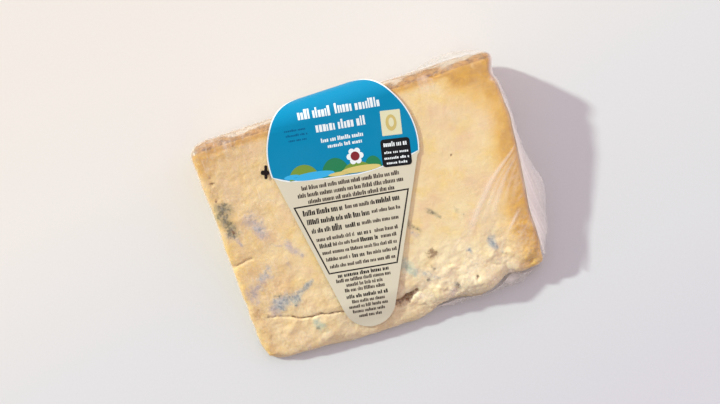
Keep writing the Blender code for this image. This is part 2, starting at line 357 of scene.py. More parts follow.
def noiseNode(tree, place, scale, detail=4.0, roughness=0.55, distortion=0.0):
    node = addNode(
        tree,
        "ShaderNodeTexNoise",
        {
            "Vector": place,
            "Scale": scale,
            "Detail": detail,
            "Roughness": roughness,
            "Distortion": distortion,
        },
    )
    return node.outputs["Fac"]


def fieldNode(tree, name):
    return addNode(tree, "ShaderNodeAttribute", attribute_name=name).outputs["Fac"]


def bumpNode(tree, height, strength, distance):
    node = addNode(
        tree, "ShaderNodeBump", {"Height": height, "Strength": strength, "Distance": distance}
    )
    return node.outputs["Normal"]


def finishSurface(tree, settings):
    shader = addNode(tree, "ShaderNodeBsdfPrincipled", settings)
    addNode(tree, "ShaderNodeOutputMaterial", {"Surface": shader.outputs["BSDF"]})


def srgb(red, green, blue):
    def linear(value):
        value = value / 255
        return value / 12.92 if value <= 0.04045 else ((value + 0.055) / 1.055) ** 2.4

    return (linear(red), linear(green), linear(blue), 1.0)


def newGroup(name, inputs, outputs):
    group = bpy.data.node_groups.new(name, "ShaderNodeTree")
    for socketName, socketKind, value in inputs:
        socket = group.interface.new_socket(socketName, in_out="INPUT", socket_type=socketKind)
        if value is not None:
            socket.default_value = value
    for socketName, socketKind in outputs:
        group.interface.new_socket(socketName, in_out="OUTPUT", socket_type=socketKind)
    return group, group.nodes.new("NodeGroupInput"), group.nodes.new("NodeGroupOutput")


# Cheese: places and sizes in millimetres
cheeseLook = {
    "coarseVoxel": 0.8,
    "voxel": 0.52,
    "smoothing": 6,
    "restHeight": 0.2,
    "pasteHeight": 0.42,
    "pasteSpan": 3.4,
    "crumbHeight": 0.3,
    "crumbSpan": 2.3,
    "crumbEdge": 0.35,
    "grainHeight": 0.16,
    "grainSpan": 0.9,
    "patchSpan": 14.0,
    "rindGrainHeight": 0.45,
    "rindGrainSpan": 1.7,
    "reliefFromZ": (0.1, 1.6),
    # where the paste turns crumbly: from, full; and how much it does at the left and the sides
    "crumblyY": (-12.0, -34.0),
    "crumblyLeftX": (-30.0, -52.0),
    "crumblyLeft": 0.6,
    "crumblySides": 0.7,
    # the most crumbly corner: from, full
    "noseY": (-30.0, -37.0),
    "noseX": (-2.0, 8.0),
    # how drawn lines and stains are pushed about: span, reach, seed
    "fineWander": (2.2, 1.3, 31),
    "wideWander": (6.0, 2.2, 33),
    "crackWander": (5.0, 0.7, 35),
    "stainWander": (4.0, 1.3, 41),
    # the front face: from, full, by the direction it faces and by its place
    "frontFacing": (-0.15, -0.6),
    "frontY": (-38.0, -43.0),
    "footPush": 0.7,
    # start, end, half width, depth
    "cracks": (
        ((-61.0, -31.4), (-51.0, -34.2), 0.4, 0.6),
        ((-51.0, -34.2), (-43.5, -37.6), 0.42, 1.0),
        ((-43.5, -37.6), (-39.3, -37.2), 0.42, 0.9),
        ((-39.3, -37.2), (-28.0, -39.9), 0.42, 1.0),
        ((-68.0, -5.8), (-59.5, -5.0), 0.6, 0.6),
        ((-43.6, -43.2), (-41.5, -48.0), 0.6, 0.4),
        ((-8.0, -42.8), (-1.5, -42.0), 1.5, 2.3),
        ((-1.5, -42.0), (3.2, -40.4), 1.1, 2.0),
        ((-6.5, -44.6), (-1.0, -43.8), 0.7, 0.5),
        ((36.5, -38.5), (41.0, -41.0), 0.5, 0.4),
    ),
    # centre, half width, depth
    "holes": (
        ((30.3, -42.8), 0.6, 1.0),
        ((10.1, -37.4), 0.5, 0.7),
        ((13.5, -33.7), 0.45, 0.5),
        ((20.5, -44.1), 0.65, 0.9),
        ((35.2, 10.3), 0.5, 0.4),
        ((-64.5, 33.3), 0.7, 0.4),
        ((-64.8, 29.9), 0.7, 0.4),
        ((-65.0, 23.3), 0.6, 0.3),
        ((-64.5, -29.6), 2.6, 0.5),
    ),
    # centre, half widths, turn, height: the lumps that stand out of the thin edge
    "lumps": (
        ((29.3, -44.6), (8.4, 5.0), -12, 0.9),
        ((20.3, -36.0), (3.8, 2.8), 20, 0.55),
        ((25.0, -38.6), (3.0, 2.4), -30, 0.45),
        ((13.2, -42.0), (4.8, 3.0), 8, 0.5),
        ((6.2, -44.8), (4.4, 2.6), 0, 0.4),
        ((38.4, -35.6), (3.6, 2.6), 35, 0.45),
        ((45.2, -37.6), (3.0, 2.6), -20, 0.45),
        ((46.6, -43.0), (3.4, 2.6), 10, 0.4),
        ((-40.4, -42.0), (4.6, 3.4), 18, 0.35),
    ),
    "lumpEdge": (1.15, 0.1),
    "thinPush": 0.8,
    # how far below the flat plane the upper face lies where it is smooth and where it crumbles
    "faceDepth": (0.12, 0.55),
    "facePull": 0.93,
    # how far from the edges and up to which slope the face is levelled: from, full
    "calmInside": (0.8, 3.2),
    "calmFacing": (-0.3, 0.0),
    # the thin edge is taken to be this much further off at the left and at the right
    "calmNose": (1.2, -0.5),
    "calmNoseX": (-30.0, -10.0),
    "calmRind": 1.8,
    "strokeTaper": 0.3,
    # start, end, half width, strength
    "blueMould": (
        ((-54.4, -27.6), (-46.4, -26.6), 4.2, 0.85),
        ((-49.0, -27.0), (-38.4, -22.6), 2.3, 0.85),
        ((40.3, -29.4), (41.4, -32.4), 2.3, 1.0),
        ((43.2, -35.4), (43.4, -36.4), 0.9, 0.7),
        ((29.4, -30.4), (30.6, -32.4), 1.4, 0.75),
        ((7.0, -32.0), (13.0, -36.8), 2.8, 0.5),
        ((-57.6, -13.6), (-54.5, -11.6), 2.8, 0.5),
        ((-52.6, 6.6), (-51.0, 4.4), 2.6, 0.45),
    ),
    "lilacMould": (
        ((-57.4, -29.4), (-54.0, -25.6), 3.4, 0.8),
        ((-64.0, -20.5), (-55.0, -12.2), 4.4, 0.62),
        ((-53.4, 10.0), (-52.0, 4.0), 5.0, 0.75),
        ((-43.5, -3.5), (-38.9, -10.9), 2.6, 0.6),
        ((-50.0, -2.0), (-46.0, -4.2), 0.9, 0.5),
        ((9.5, -16.0), (12.0, -18.5), 2.2, 0.45),
        ((-64.6, 7.0), (-62.0, 2.4), 1.8, 0.6),
        ((-46.2, -9.5), (-44.4, -14.0), 2.0, 0.35),
    ),
    "greenMould": (
        ((-64.9, 18.4), (-63.4, 7.4), 4.2, 0.95),
        ((8.4, -11.2), (11.6, -15.4), 2.2, 0.6),
        ((18.2, -9.2), (22.8, -13.0), 1.6, 0.75),
        ((29.7, -12.4), (32.8, -15.3), 1.4, 0.4),
        ((9.6, -37.2), (10.6, -37.6), 1.1, 0.8),
        ((13.2, -33.6), (13.8, -33.8), 0.8, 0.7),
        ((19.9, -43.8), (20.8, -44.6), 1.3, 0.85),
        ((-42.6, -42.2), (-42.0, -42.4), 0.9, 0.85),
        ((-55.2, -24.0), (-53.4, -23.2), 1.3, 0.6),
        ((-48.6, -29.4), (-43.0, -26.0), 1.2, 0.35),
    ),
    "tealMould": (
        ((1.4, -26.6), (4.6, -32.6), 3.0, 0.7),
        ((-42.0, -40.4), (-39.4, -44.6), 3.0, 0.65),
        ((25.5, -35.2), (28.0, -33.5), 2.0, 0.3),
    ),
    # centre, half width, strength: brown stains, and painted shade in holes and in the cavity at
    # the thin edge
    "brownStainAndHollowSpots": (
        ((14.8, -27.0), 3.0, 0.85),
        ((-64.5, 33.3), 1.0, 0.8),
        ((-64.8, 29.9), 1.0, 0.85),
        ((-65.0, 23.3), 0.9, 0.75),
        ((-63.0, 8.0), 1.1, 1.0),
        ((35.2, 10.3), 0.6, 0.9),
        ((54.4, -40.6), 2.2, 0.6),
        ((56.6, -39.2), 2.0, 0.65),
        ((-6.0, -42.6), 2.0, 0.95),
        ((-2.6, -42.3), 2.2, 0.95),
        ((1.2, -41.2), 1.8, 0.9),
        ((-5.4, -43.6), 2.4, 0.85),
        ((-1.6, -42.9), 2.0, 0.75),
        ((-3.0, -45.4), 3.2, 0.45),
        ((30.3, -42.8), 0.9, 0.9),
        ((12.6, -32.8), 0.8, 0.7),
        ((-66.0, -27.6), 3.0, 0.5),
        ((-62.5, -31.0), 2.8, 0.55),
        ((-50.8, 41.8), 2.0, 0.45),
        ((-57.2, 47.6), 2.8, 0.55),
        ((-49.5, 47.4), 1.8, 0.45),
        ((47.5, -45.5), 1.8, 0.5),
        ((36.2, 45.6), 1.2, 1.0),
    ),
}


# Where the paste is deeper in colour: where that starts, where it is full, how much
goldLook = {
    "fromRind": ((6.5, 2.5, 1.1), (12.0, 4.0, 0.1)),
    "fromRindAtRight": ((19.0, 7.0, 1.1),),
    "rindAtRightX": (35.0, 46.0),
    "fromLeftEnd": ((9.0, 0.0, 0.3),),
    "leftX": ((-22.0, -62.0, 0.25),),
    "frontY": ((-40.0, -46.0, 0.15),),
    "frontX": (5.0, -5.0),
    # a corner's place, where its colour starts, where it is full, how much
    "rightCorner": (61.0, 44.0, 30.0, 6.0, 1.0),
    "leftCorner": (-63.0, 42.0, 14.0, 3.0, 0.5),
    # the right end's colour: how far in it starts, towards the rind and towards the thin edge
    "endReach": (15.0, 18.0),
    "endReachY": (15.0, -20.0),
    "endFull": 5.0,
    # it is weaker round one place and at the thin edge: place and half width, then the share left
    "endDip": (22.0, 8.0),
    "endDipShare": 0.8,
    "endFrontY": (-43.0, -33.0),
    "endFrontShare": 0.75,
    "most": 1.2,
}

# The rind shows where the surface faces outwards and lies near the drum's own: from, full
rindLook = {
    "backFacing": (-0.15, 0.25),
    "backDepth": (-5.0, -2.0),
    "endFacing": (0.6, 0.92),
    "endDepth": (-1.4, -0.3),
    # painted light: the flat end, which faces away from the sun, is paler right under its upper
    # edge: the share of rind there, and how far down it goes
    "paintedLightUnderEdge": 0.25,
    "belowTop": (-2.5, -7.0),
    # the pale bloom's upper edge, and where it sinks: centre, half width
    "bloomTop": 28.0,
    "bloomSink": 7.0,
    "bloomSinks": ((32.0, 7.0), (-60.0, 9.0)),
    "bloomSoft": 8.0,
    # it thins out towards the table: from, full
    "bloomFoot": (5.0, 17.0),
}


def crumbliness(x, y):
    nearNose = ramp(*cheeseLook["crumblyY"], y)
    nearLeft = cheeseLook["crumblyLeft"] * ramp(*cheeseLook["crumblyLeftX"], x)
    return np.minimum(1.0, nearNose + nearLeft)


def frontFace(y, normals):
    return ramp(*cheeseLook["frontFacing"], normals[:, 1]) * ramp(*cheeseLook["frontY"], y)


def strokeField(x, y, strokes):
    # soft strokes that thin out towards their far end
    field = np.zeros_like(x)
    for start, end, halfWidth, strength in strokes:
        away, share = lineField(x, y, start, end)
        thinned = halfWidth * (1 - cheeseLook["strokeTaper"] * share)
        field = np.maximum(field, strength * hump(0, thinned, away))
    return field


def spotField(x, y, spots):
    field = np.zeros_like(x)
    for centre, halfWidth, strength in spots:
        away = np.hypot(x - centre[0], y - centre[1])
        field = np.maximum(field, strength * hump(0, halfWidth, away))
    return field


def lumpField(x, y):
    # rounded lumps, the highest where they overlap
    height = np.zeros_like(x)
    for centre, halfWidths, turn, tall in cheeseLook["lumps"]:
        cosine, sine = math.cos(math.radians(turn)), math.sin(math.radians(turn))
        along = (x - centre[0]) * cosine + (y - centre[1]) * sine
        across = (y - centre[1]) * cosine - (x - centre[0]) * sine
        away = np.hypot(along / halfWidths[0], across / halfWidths[1])
        height = np.maximum(height, tall * ramp(*cheeseLook["lumpEdge"], away))
    return height


def cornerField(x, y, corner):
    cornerX, cornerY, start, full, strength = corner
    return strength * ramp(start, full, np.hypot(x - cornerX, y - cornerY))


def goldField(x, y, z):
    # the paste is deeper in colour along the rind, the right end and a little on the left
    look = goldLook
    fromRind = rindY(z) - y
    edge = stepsAt(look["fromRind"], fromRind)
    wideEdge = stepsAt(look["fromRindAtRight"], fromRind) * ramp(*look["rindAtRightX"], x)
    reach = mix(*look["endReach"], ramp(*look["endReachY"], y))
    end = mix(1.0, look["endDipShare"], hump(*look["endDip"], y))
    end *= ramp(reach, look["endFull"], rightEnd(y) - x)
    end *= mix(look["endFrontShare"], 1.0, ramp(*look["endFrontY"], y))
    left = stepsAt(look["fromLeftEnd"], x - leftEnd(y)) + stepsAt(look["leftX"], x)
    left += cornerField(x, y, look["leftCorner"])
    front = stepsAt(look["frontY"], y) * ramp(*look["frontX"], x)
    corner = cornerField(x, y, look["rightCorner"])
    field = np.maximum.reduce([edge, wideEdge, corner, end, left + front])
    return np.clip(field, 0.0, look["most"])


def crustField(x, y, z, normals):
    # the drum's rind: the curved face at the back and the flat one at the right end
    look = rindLook
    back = ramp(*look["backFacing"], normals[:, 1]) * ramp(*look["backDepth"], y - rindY(z))
    end = ramp(*look["endFacing"], normals[:, 0]) * ramp(*look["endDepth"], x - rightEnd(y))
    # painted light: less rind colour under the end's upper edge, so that the shaded edge looks lit
    end *= mix(look["paintedLightUnderEdge"], 1.0, ramp(*look["belowTop"], z - topPlane(x, y)))
    return np.maximum(back, end)


def thinnedEdge(places, normals):
    # the front edge near the label's tip lowered, and its face made rounder
    x, y, z = places.T
    share = np.clip(z / noseHeight(x), 0.0, 1.0)
    z = z - thinDrop(x, y) * share
    thinPush = cheeseLook["thinPush"] * thinHere(x) * hump(*wedge["bulgeUp"], share)
    y = y - frontFace(y, normals) * (frontBulge(x, share) + thinPush)
    return np.stack([x, y, z], axis=1)


def calmedFace(places, normals):
    # the part's broad relief is mostly levelled, so that the finer one can take its place
    look = cheeseLook
    x, y, z = places.T
    edges = (
        y - noseRidge(x) + mix(*look["calmNose"], ramp(*look["calmNoseX"], x)),
        x - leftEnd(y),
        rightEnd(y) - x,
        look["calmRind"] * (rindY(wedge["rindHeight"]) - y),
    )
    inner = ramp(*look["calmInside"], np.minimum.reduce(edges))
    inner *= ramp(*look["calmFacing"], normals[:, 2])
    level = np.full_like(x, wedge["swellAtZ"])
    wave = wedge["swell"] * noiseField(x, y, level, wedge["swellSpan"])
    missing = topPlane(x, y) + wave - mix(*look["faceDepth"], crumbliness(x, y)) - z
    z = z + look["facePull"] * inner * missing
    return np.stack([x, y, z], axis=1)


def cheeseRelief(x, y, z, normals, crust):
    # how far each place stands out, and what the colours take from the same noise
    look = cheeseLook
    level = np.zeros_like(z)
    side = 1 - ramp(0.5, 0.9, normals[:, 2])
    rough = np.maximum(crumbliness(x, y), look["crumblySides"] * side)
    nose = ramp(*look["noseY"], y) * ramp(*look["noseX"], x)
    fineX, fineY = warped(x, y, *look["fineWander"])
    wideX, wideY = warped(fineX, fineY, *look["wideWander"])
    paste = noiseField(x, y, z, look["pasteSpan"])
    broad = noiseField(x, y, z, look["pasteSpan"] * 2.1, 1)
    grain = noiseField(x, y, z, look["grainSpan"], 2)
    nearest, second = cellFields(fineX, fineY, z, look["crumbSpan"])
    lumpy = np.clip(second - nearest, 0.0, look["crumbEdge"]) / look["crumbEdge"] - 0.6
    patchy = ramp(-0.3, 0.3, noiseField(x, y, level, look["patchSpan"], 14))
    # soft swells and folds, then crumbs with creases between them, then a fine grain
    height = look["pasteHeight"] * mix(0.12, 1.0, rough * mix(0.6, 1.0, patchy))
    height *= 0.8 * paste - 1.2 * np.abs(broad) + 0.2
    height += look["crumbHeight"] * mix(0.2, 1.0, nose) * rough * lumpy * mix(0.4, 1.0, patchy)
    height += look["grainHeight"] * grain * mix(0.15, 1.0, rough)
    height += lumpField(wideX, wideY)
    crackX, crackY = warped(x, y, *look["crackWander"])
    cracked = np.zeros_like(x)
    for start, end, halfWidth, depth in look["cracks"]:
        away = lineField(crackX, crackY, start, end)[0]
        cut = hump(0, halfWidth * (0.75 + 0.5 * np.abs(paste)), away)
        height -= depth * cut
        cracked = np.maximum(cracked, cut * np.minimum(1.0, depth))
    for (holeX, holeY), halfWidth, depth in look["holes"]:
        height -= depth * hump(0, halfWidth, np.hypot(fineX - holeX, fineY - holeY))
    rindGrain = look["rindGrainHeight"] * noiseField(x, y, z, look["rindGrainSpan"], 4)
    height += crust * (rindGrain - 0.3 * np.abs(broad))
    height *= ramp(*look["reliefFromZ"], z)
    # the last value is painted shade: it is highest in the creases between crumbs and where the
    # face lies low
    return height, broad, cracked, np.clip(rough * (0.25 - lumpy) * 0.6 - height * 0.25, 0, 1)


def bloomField(z, x, broad):
    # the pale bloom on the rind, with a wavy upper edge
    look = rindLook
    sunk = np.maximum.reduce([hump(*place, x) for place in look["bloomSinks"]])
    top = look["bloomTop"] - look["bloomSink"] * sunk
    under = ramp(0, -look["bloomSoft"], z - top + 9 * broad)
    return under * mix(0.1, 1.0, ramp(*look["bloomFoot"], z + 12 * broad))


def mottleField(x, y, z, broad):
    # where the paste is mottled most: by the rind, at the left and on the crumbly thin edge
    rim = 0.9 * ramp(9, 2, rindY(z) - y)
    left = 0.9 * ramp(-28, -50, x)
    crumbs = 0.75 * ramp(-26, -38, y) * ramp(2, 12, rightEnd(y) - x)
    everywhere = np.full_like(x, 0.3)
    mottle = np.maximum.reduce([rim, left, crumbs, everywhere])
    return mottle * mix(0.45, 1.0, ramp(-0.25, 0.25, broad))


def paleCoreAndLitFrontField(x, y):
    # the pale paste near the drum's axis, weaker at the left; partly painted light, as it also
    # pales the shaded front face at the left
    atLeft = mix(0.45, 0.95, ramp(-40, -47, y))
    return mix(atLeft, 1.0, ramp(-30, 10, x)) * ramp(-14, -40, y)


def makeCheese():
    look = cheeseLook
    piece = copyOfNode("cheese", "cheese_piece")
    applyModifier(piece, "REMESH", mode="VOXEL", voxel_size=look["coarseVoxel"] * mm)
    normals = normalsOf(piece)
    setPlaces(piece, thinnedEdge(calmedFace(placesOf(piece), normals), normals))
    applyModifier(piece, "REMESH", mode="VOXEL", voxel_size=look["voxel"] * mm)
    applyModifier(piece, "SMOOTH", factor=0.5, iterations=look["smoothing"])
    places, normals = placesOf(piece), normalsOf(piece)
    x, y, z = places.T
    crust = crustField(x, y, z, normals)
    height, broad, cracked, crease = cheeseRelief(x, y, z, normals, crust)
    moved = places + normals * height[:, None]
    moved[:, 1] -= look["footPush"] * frontFace(y, normals)
    setPlaces(piece, moved)
    stainX, stainY = warped(x, y, *look["stainWander"])
    for field in ("blueMould", "lilacMould", "greenMould", "tealMould"):
        addAttribute(piece, field, strokeField(stainX, stainY, look[field]))
    brownStainAndShade = spotField(stainX, stainY, look["brownStainAndHollowSpots"])
    goldDrift = noiseField(x, y, np.zeros_like(z), 7.0, 12)
    # brown stains, with painted shade along the cracks
    addAttribute(piece, "brownStainAndShade", np.maximum(brownStainAndShade, 0.8 * cracked))
    addAttribute(piece, "core", paleCoreAndLitFrontField(x, y))
    addAttribute(piece, "gold", goldField(x, y, z) + 0.12 * goldDrift)
    addAttribute(piece, "crust", crust)
    addAttribute(piece, "bloom", crust * bloomField(z, x, broad))
    addAttribute(piece, "mottle", mottleField(x, y, z, broad))
    # painted shade for the creases between crumbs and the low places
    addAttribute(piece, "crease", crease)
    flattenUnderside(piece, look["restHeight"])
    shadeSmooth(piece)
    return piece


cheeseColours = {
    "pale": srgb(244, 216, 161),
    "cream": srgb(250, 228, 178),
    "yellow": srgb(246, 212, 120),
    "peach": srgb(240, 202, 160),
    "core": srgb(253, 241, 205),
    "gold": srgb(236, 182, 60),
    "ochre": srgb(198, 144, 72),
    "blue": srgb(110, 122, 134),
    "paleBlue": srgb(186, 189, 184),
    "lilac": srgb(186, 172, 188),
    "teal": srgb(178, 202, 186),
    "green": srgb(120, 124, 100),
    "darkGreen": srgb(58, 62, 48),
    "brownStainAndShade": srgb(122, 72, 14),
    "tan": srgb(208, 170, 130),
    "milky": srgb(255, 240, 204),
    "crust": srgb(180, 130, 68),
    "crustDark": srgb(128, 92, 56),
    "bloom": srgb(204, 184, 162),
}


def veinGroup():
    # a soft broken stain with darker specks in it
    group, given, out = newGroup(
        "mouldVein",
        [
            ("Field", "NodeSocketFloat", 0.0),
            ("Blotch", "NodeSocketFloat", 0.5),
            ("Fine", "NodeSocketFloat", 0.5),
            ("Speckle", "NodeSocketFloat", 0.5),
        ],
        [("Stain", "NodeSocketFloat"), ("Specks", "NodeSocketFloat")],
    )
    field = given.outputs["Field"]

    def swung(name, far):
        return times(group, minus(group, given.outputs[name], 0.5), far)

    uneven = plus(group, swung("Blotch", 1.3), swung("Fine", 1.0))
    stain = easedRange(group, plus(group, field, uneven), 0.1, 1.0)
    stain = times(group, stain, easedRange(group, field, 0.02, 0.35))
    speckled = plus(group, swung("Fine", 2.2), swung("Speckle", 2.6))
    specks = easedRange(group, plus(group, field, speckled), 0.5, 1.2)
    specks = times(group, specks, easedRange(group, field, 0.1, 0.6))
    group.links.new(stain, out.inputs["Stain"])
    group.links.new(specks, out.inputs["Specks"])
    return group


mouldVein = veinGroup()


def addMoulds(tree, colour, noises):
    # each kind of mould: its field, its stain's and its specks' colour, how strong both are
    for field, stainTint, speckTint, stainStrength, speckStrength in (
        ("tealMould", "teal", "green", 0.75, 0.3),
        ("lilacMould", "lilac", "blue", 0.7, 0.35),
        ("blueMould", "paleBlue", "blue", 0.8, 0.7),
        ("greenMould", "green", "darkGreen", 0.6, 0.65),
    ):
        vein = addNode(tree, "ShaderNodeGroup", node_tree=mouldVein)
        tree.links.new(fieldNode(tree, field), vein.inputs["Field"])
        for name, source in noises.items():
            tree.links.new(source, vein.inputs[name])
        stain = times(tree, vein.outputs["Stain"], stainStrength)
        colour = mixColour(tree, stain, colour, cheeseColours[stainTint])
        specks = times(tree, vein.outputs["Specks"], speckStrength)
        colour = mixColour(tree, specks, colour, cheeseColours[speckTint])
    return colour


def cheeseMaterial():
    material, tree = newMaterial("stilton_paste")
    place = objectPlace(tree)
    colours = cheeseColours
    broad = noiseNode(tree, place, 55.0, detail=3.0)
    patch = noiseNode(tree, place, 130.0, detail=4.0, roughness=0.6)
    fine = noiseNode(tree, place, 520.0, detail=5.0, roughness=0.65)
    blotch = noiseNode(tree, place, 240.0, detail=6.0, roughness=0.7, distortion=0.4)
    speckle = noiseNode(tree, place, 1100.0, detail=3.0, roughness=0.7)
    shifted = mappedPlace(tree, place, "Location", (0.3, 0.1, 0.2))
    hueDrift = noiseNode(tree, shifted, 90.0, detail=4.0)
    drawn = mappedPlace(tree, place, "Scale", (1.4, 0.65, 1.0))
    grain = noiseNode(tree, drawn, 320.0, detail=5.0, roughness=0.62)
    gold = fieldNode(tree, "gold")
    deepGold = times(tree, easedRange(tree, gold, 0.65, 1.1), 0.8)
    mottle = fieldNode(tree, "mottle")
    colour = mixColour(
        tree, easedRange(tree, broad, 0.35, 0.68), colours["pale"], colours["cream"]
    )
    # tint, how much of it, the noise that breaks it up: two levels and the share at each
    for tint, amount, breakup, spread in (
        ("yellow", 0.55, patch, (0.46, 0.72, 0.0, 1.0)),
        ("peach", 0.6, hueDrift, (0.5, 0.7, 0.0, 1.0)),
        # partly painted light: the core tint also pales the thin edge and its shaded front face
        ("core", fieldNode(tree, "core"), patch, (0.3, 0.6, 0.9, 0.5)),
        ("gold", gold, patch, (0.15, 0.6, 0.6, 1.0)),
        ("ochre", deepGold, blotch, (0.3, 0.7, 0.25, 1.0)),
        ("tan", mottle, grain, (0.4, 0.7, 0.24, 0.43)),
        ("milky", mottle, grain, (0.46, 0.34, 0.0, 0.25)),
    ):
        share = times(tree, easedRange(tree, breakup, *spread), amount)
        colour = mixColour(tree, share, colour, colours[tint])
    # painted shade: tan in the creases between crumbs and in low places
    colour = mixColour(tree, times(tree, fieldNode(tree, "crease"), 0.5), colour, colours["tan"])
    colour = addMoulds(tree, colour, {"Blotch": blotch, "Fine": fine, "Speckle": speckle})
    rindTint = mixColour(
        tree, easedRange(tree, blotch, 0.42, 0.66), colours["crust"], colours["crustDark"]
    )
    rindTint = mixColour(tree, fieldNode(tree, "bloom"), rindTint, colours["bloom"])
    colour = mixColour(tree, fieldNode(tree, "crust"), colour, rindTint)
    ragged = times(tree, minus(tree, fine, 0.5), 1.6)
    # brown stains, and painted shade in the cracks, holes and the cavity
    brownStainAndShade = easedRange(tree, plus(tree, fieldNode(tree, "brownStainAndShade"), ragged), 0.3, 0.95)
    colour = mixColour(tree, times(tree, brownStainAndShade, 0.92), colour, colours["brownStainAndShade"])
    height = plus(tree, fine, times(tree, blotch, 1.5))
    finishSurface(tree, {
        "Base Color": colour,
        "Roughness": easedRange(tree, patch, 0.3, 0.7, 0.5, 0.62),
        "Normal": bumpNode(tree, height, 0.35, 0.0006),
        "Subsurface Weight": 0.1,
        "Subsurface Radius": (1.0, 0.6, 0.3),
        "Subsurface Scale": 0.003,
    })
    return material


cheese = makeCheese()
cheese.data.materials.append(cheeseMaterial())
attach(cheese, "root")
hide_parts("cheese")
print("cheese:", len(cheese.data.polygons), "faces")

# Clear wrap: places and sizes in millimetres
filmLook = {
    "voxel": 0.62,
    "lift": 0.25,
    "sideLift": 0.3,
    "crinkleLift": 0.2,
    # how often it is smoothed before and after it is laid on the cheese
    "smoothing": (40, 6),
    # where it is gathered: x from, full, y from, full
    "gathers": ((22.0, 50.0, -14.0, -32.0), (0.0, 12.0, -28.0, -38.0)),
    # the fan of creases runs from a point at the right end; angle, half width, strength
    "fanPoint": (66.0, 20.0),
    "fanTurn": 40.0,
    "fanTurnReach": 18.0,
    # it starts off the point, reaches less far at the first angle than at the second, and fades out
    "fanStart": (4.0, 11.0),
    "fanReach": (47.0, 61.0),
    "fanReachAngle": (-113.0, -126.0),
    "fanFade": 16.0,
    "fan": (
        (-127.8, 2.0, 0.85),
        (-122.6, 1.6, 0.45),
        (-118.8, 2.2, 0.6),
        (-113.4, 1.4, 0.4),
        (-108.6, 1.9, 0.3),
        (-121.0, 8.0, 0.15),
    ),
    "fanHeight": 0.22,
    # start, end, half width, strength
    "creases": (
        ((55.6, -20.5), (46.5, -29.8), 0.7, 0.9),
        ((46.5, -29.8), (43.6, -34.5), 0.7, 0.7),
        ((58.0, -27.0), (50.5, -33.5), 0.5, 0.5),
        ((60.2, -6.0), (53.5, -8.0), 0.7, 0.45),
        ((60.4, -9.5), (54.5, -11.5), 0.6, 0.4),
        ((59.6, -14.5), (55.0, -17.5), 0.7, 0.4),
        ((26.0, -25.5), (21.0, -31.5), 0.7, 0.6),
        ((30.5, -22.0), (24.0, -28.0), 0.5, 0.5),
        ((-52.3, 36.9), (-56.8, 13.9), 0.9, 0.35),
        ((-49.5, 30.0), (-53.0, 9.0), 0.6, 0.25),
        ((-59.5, 31.0), (-62.5, 18.0), 0.5, 0.3),
        ((-54.5, 47.6), (-53.7, 38.0), 0.9, 0.6),
        ((-52.6, 46.8), (-51.8, 39.0), 0.5, 0.45),
        ((34.4, 49.0), (33.0, 35.2), 2.0, 0.75),
        ((31.8, 46.8), (31.4, 38.0), 0.6, 0.8),
        ((34.8, 47.0), (33.6, 36.6), 0.5, 0.9),
        ((37.0, 46.0), (36.0, 37.6), 0.6, 0.7),
        ((40.0, 31.5), (41.0, 19.5), 2.4, 0.38),
        ((-57.0, -8.0), (-50.0, -15.5), 0.6, 0.35),
        ((-44.0, -5.0), (-47.5, -12.0), 0.6, 0.35),
        ((-47.0, -34.5), (-43.0, -36.2), 0.8, 0.5),
        ((-35.0, -44.0), (-44.0, -49.0), 0.8, 0.5),
        ((-62.0, -20.0), (-57.0, -26.5), 0.6, 0.4),
    ),
    "creaseEnds": (0.12, 0.95),
    # how milky the film looks where it creases, crinkles, gathers, is pulled up and at the edges
    "creaseHaze": 0.7,
    "crinkleHaze": 0.25,
    "gatherHaze": 0.25,
    "pullHaze": 0.28,
    "leftHaze": 0.5,
    # on the rind's face: at the left and at the right, and between which x it grows
    "rindHaze": (0.35, 0.6),
    "rindHazeX": (-30.0, 20.0),
    # strips along the edges, by the distance from the cheese's own edge: from, full
    "rindStrip": (-1.6, 0.2),
    # the end's strip is painted light in part: the wrap over the end's shaded upper edge is made
    # milky so that it shows light
    "endStrip": (-2.0, 0.0),
    "leftStrip": (1.2, 0.0),
    "rightStrip": (2.4, 0.4),
    "rightStripY": (-44.0, -36.0),
    # the end's strip is faint well below the upper edge: the share there, and from, full
    "endLowShare": 0.12,
    "endLow": (-6.0, -2.0),
    # a thin veil on the top at the right, a painted sheen: its place, how far it is drawn out,
    # from, full, strength
    "veilPlace": (44.0, 22.0),
    "veilStretch": 1.6,
    "veil": (14.0, 4.0, 0.16),
    # painted highlights, where the film catches the light: centre, half width, strength
    "paintedGlints": (
        ((63.9, 43.4), 1.5, 0.75),
        ((62.3, 39.2), 1.5, 0.8),
        ((61.2, 35.8), 1.2, 0.6),
        ((4.7, -43.5), 1.6, 0.8),
        ((8.4, -44.6), 1.1, 0.6),
        ((17.4, -46.6), 1.9, 0.85),
        ((44.0, -45.4), 1.6, 0.6),
        ((36.5, -46.0), 1.2, 0.5),
    ),
}

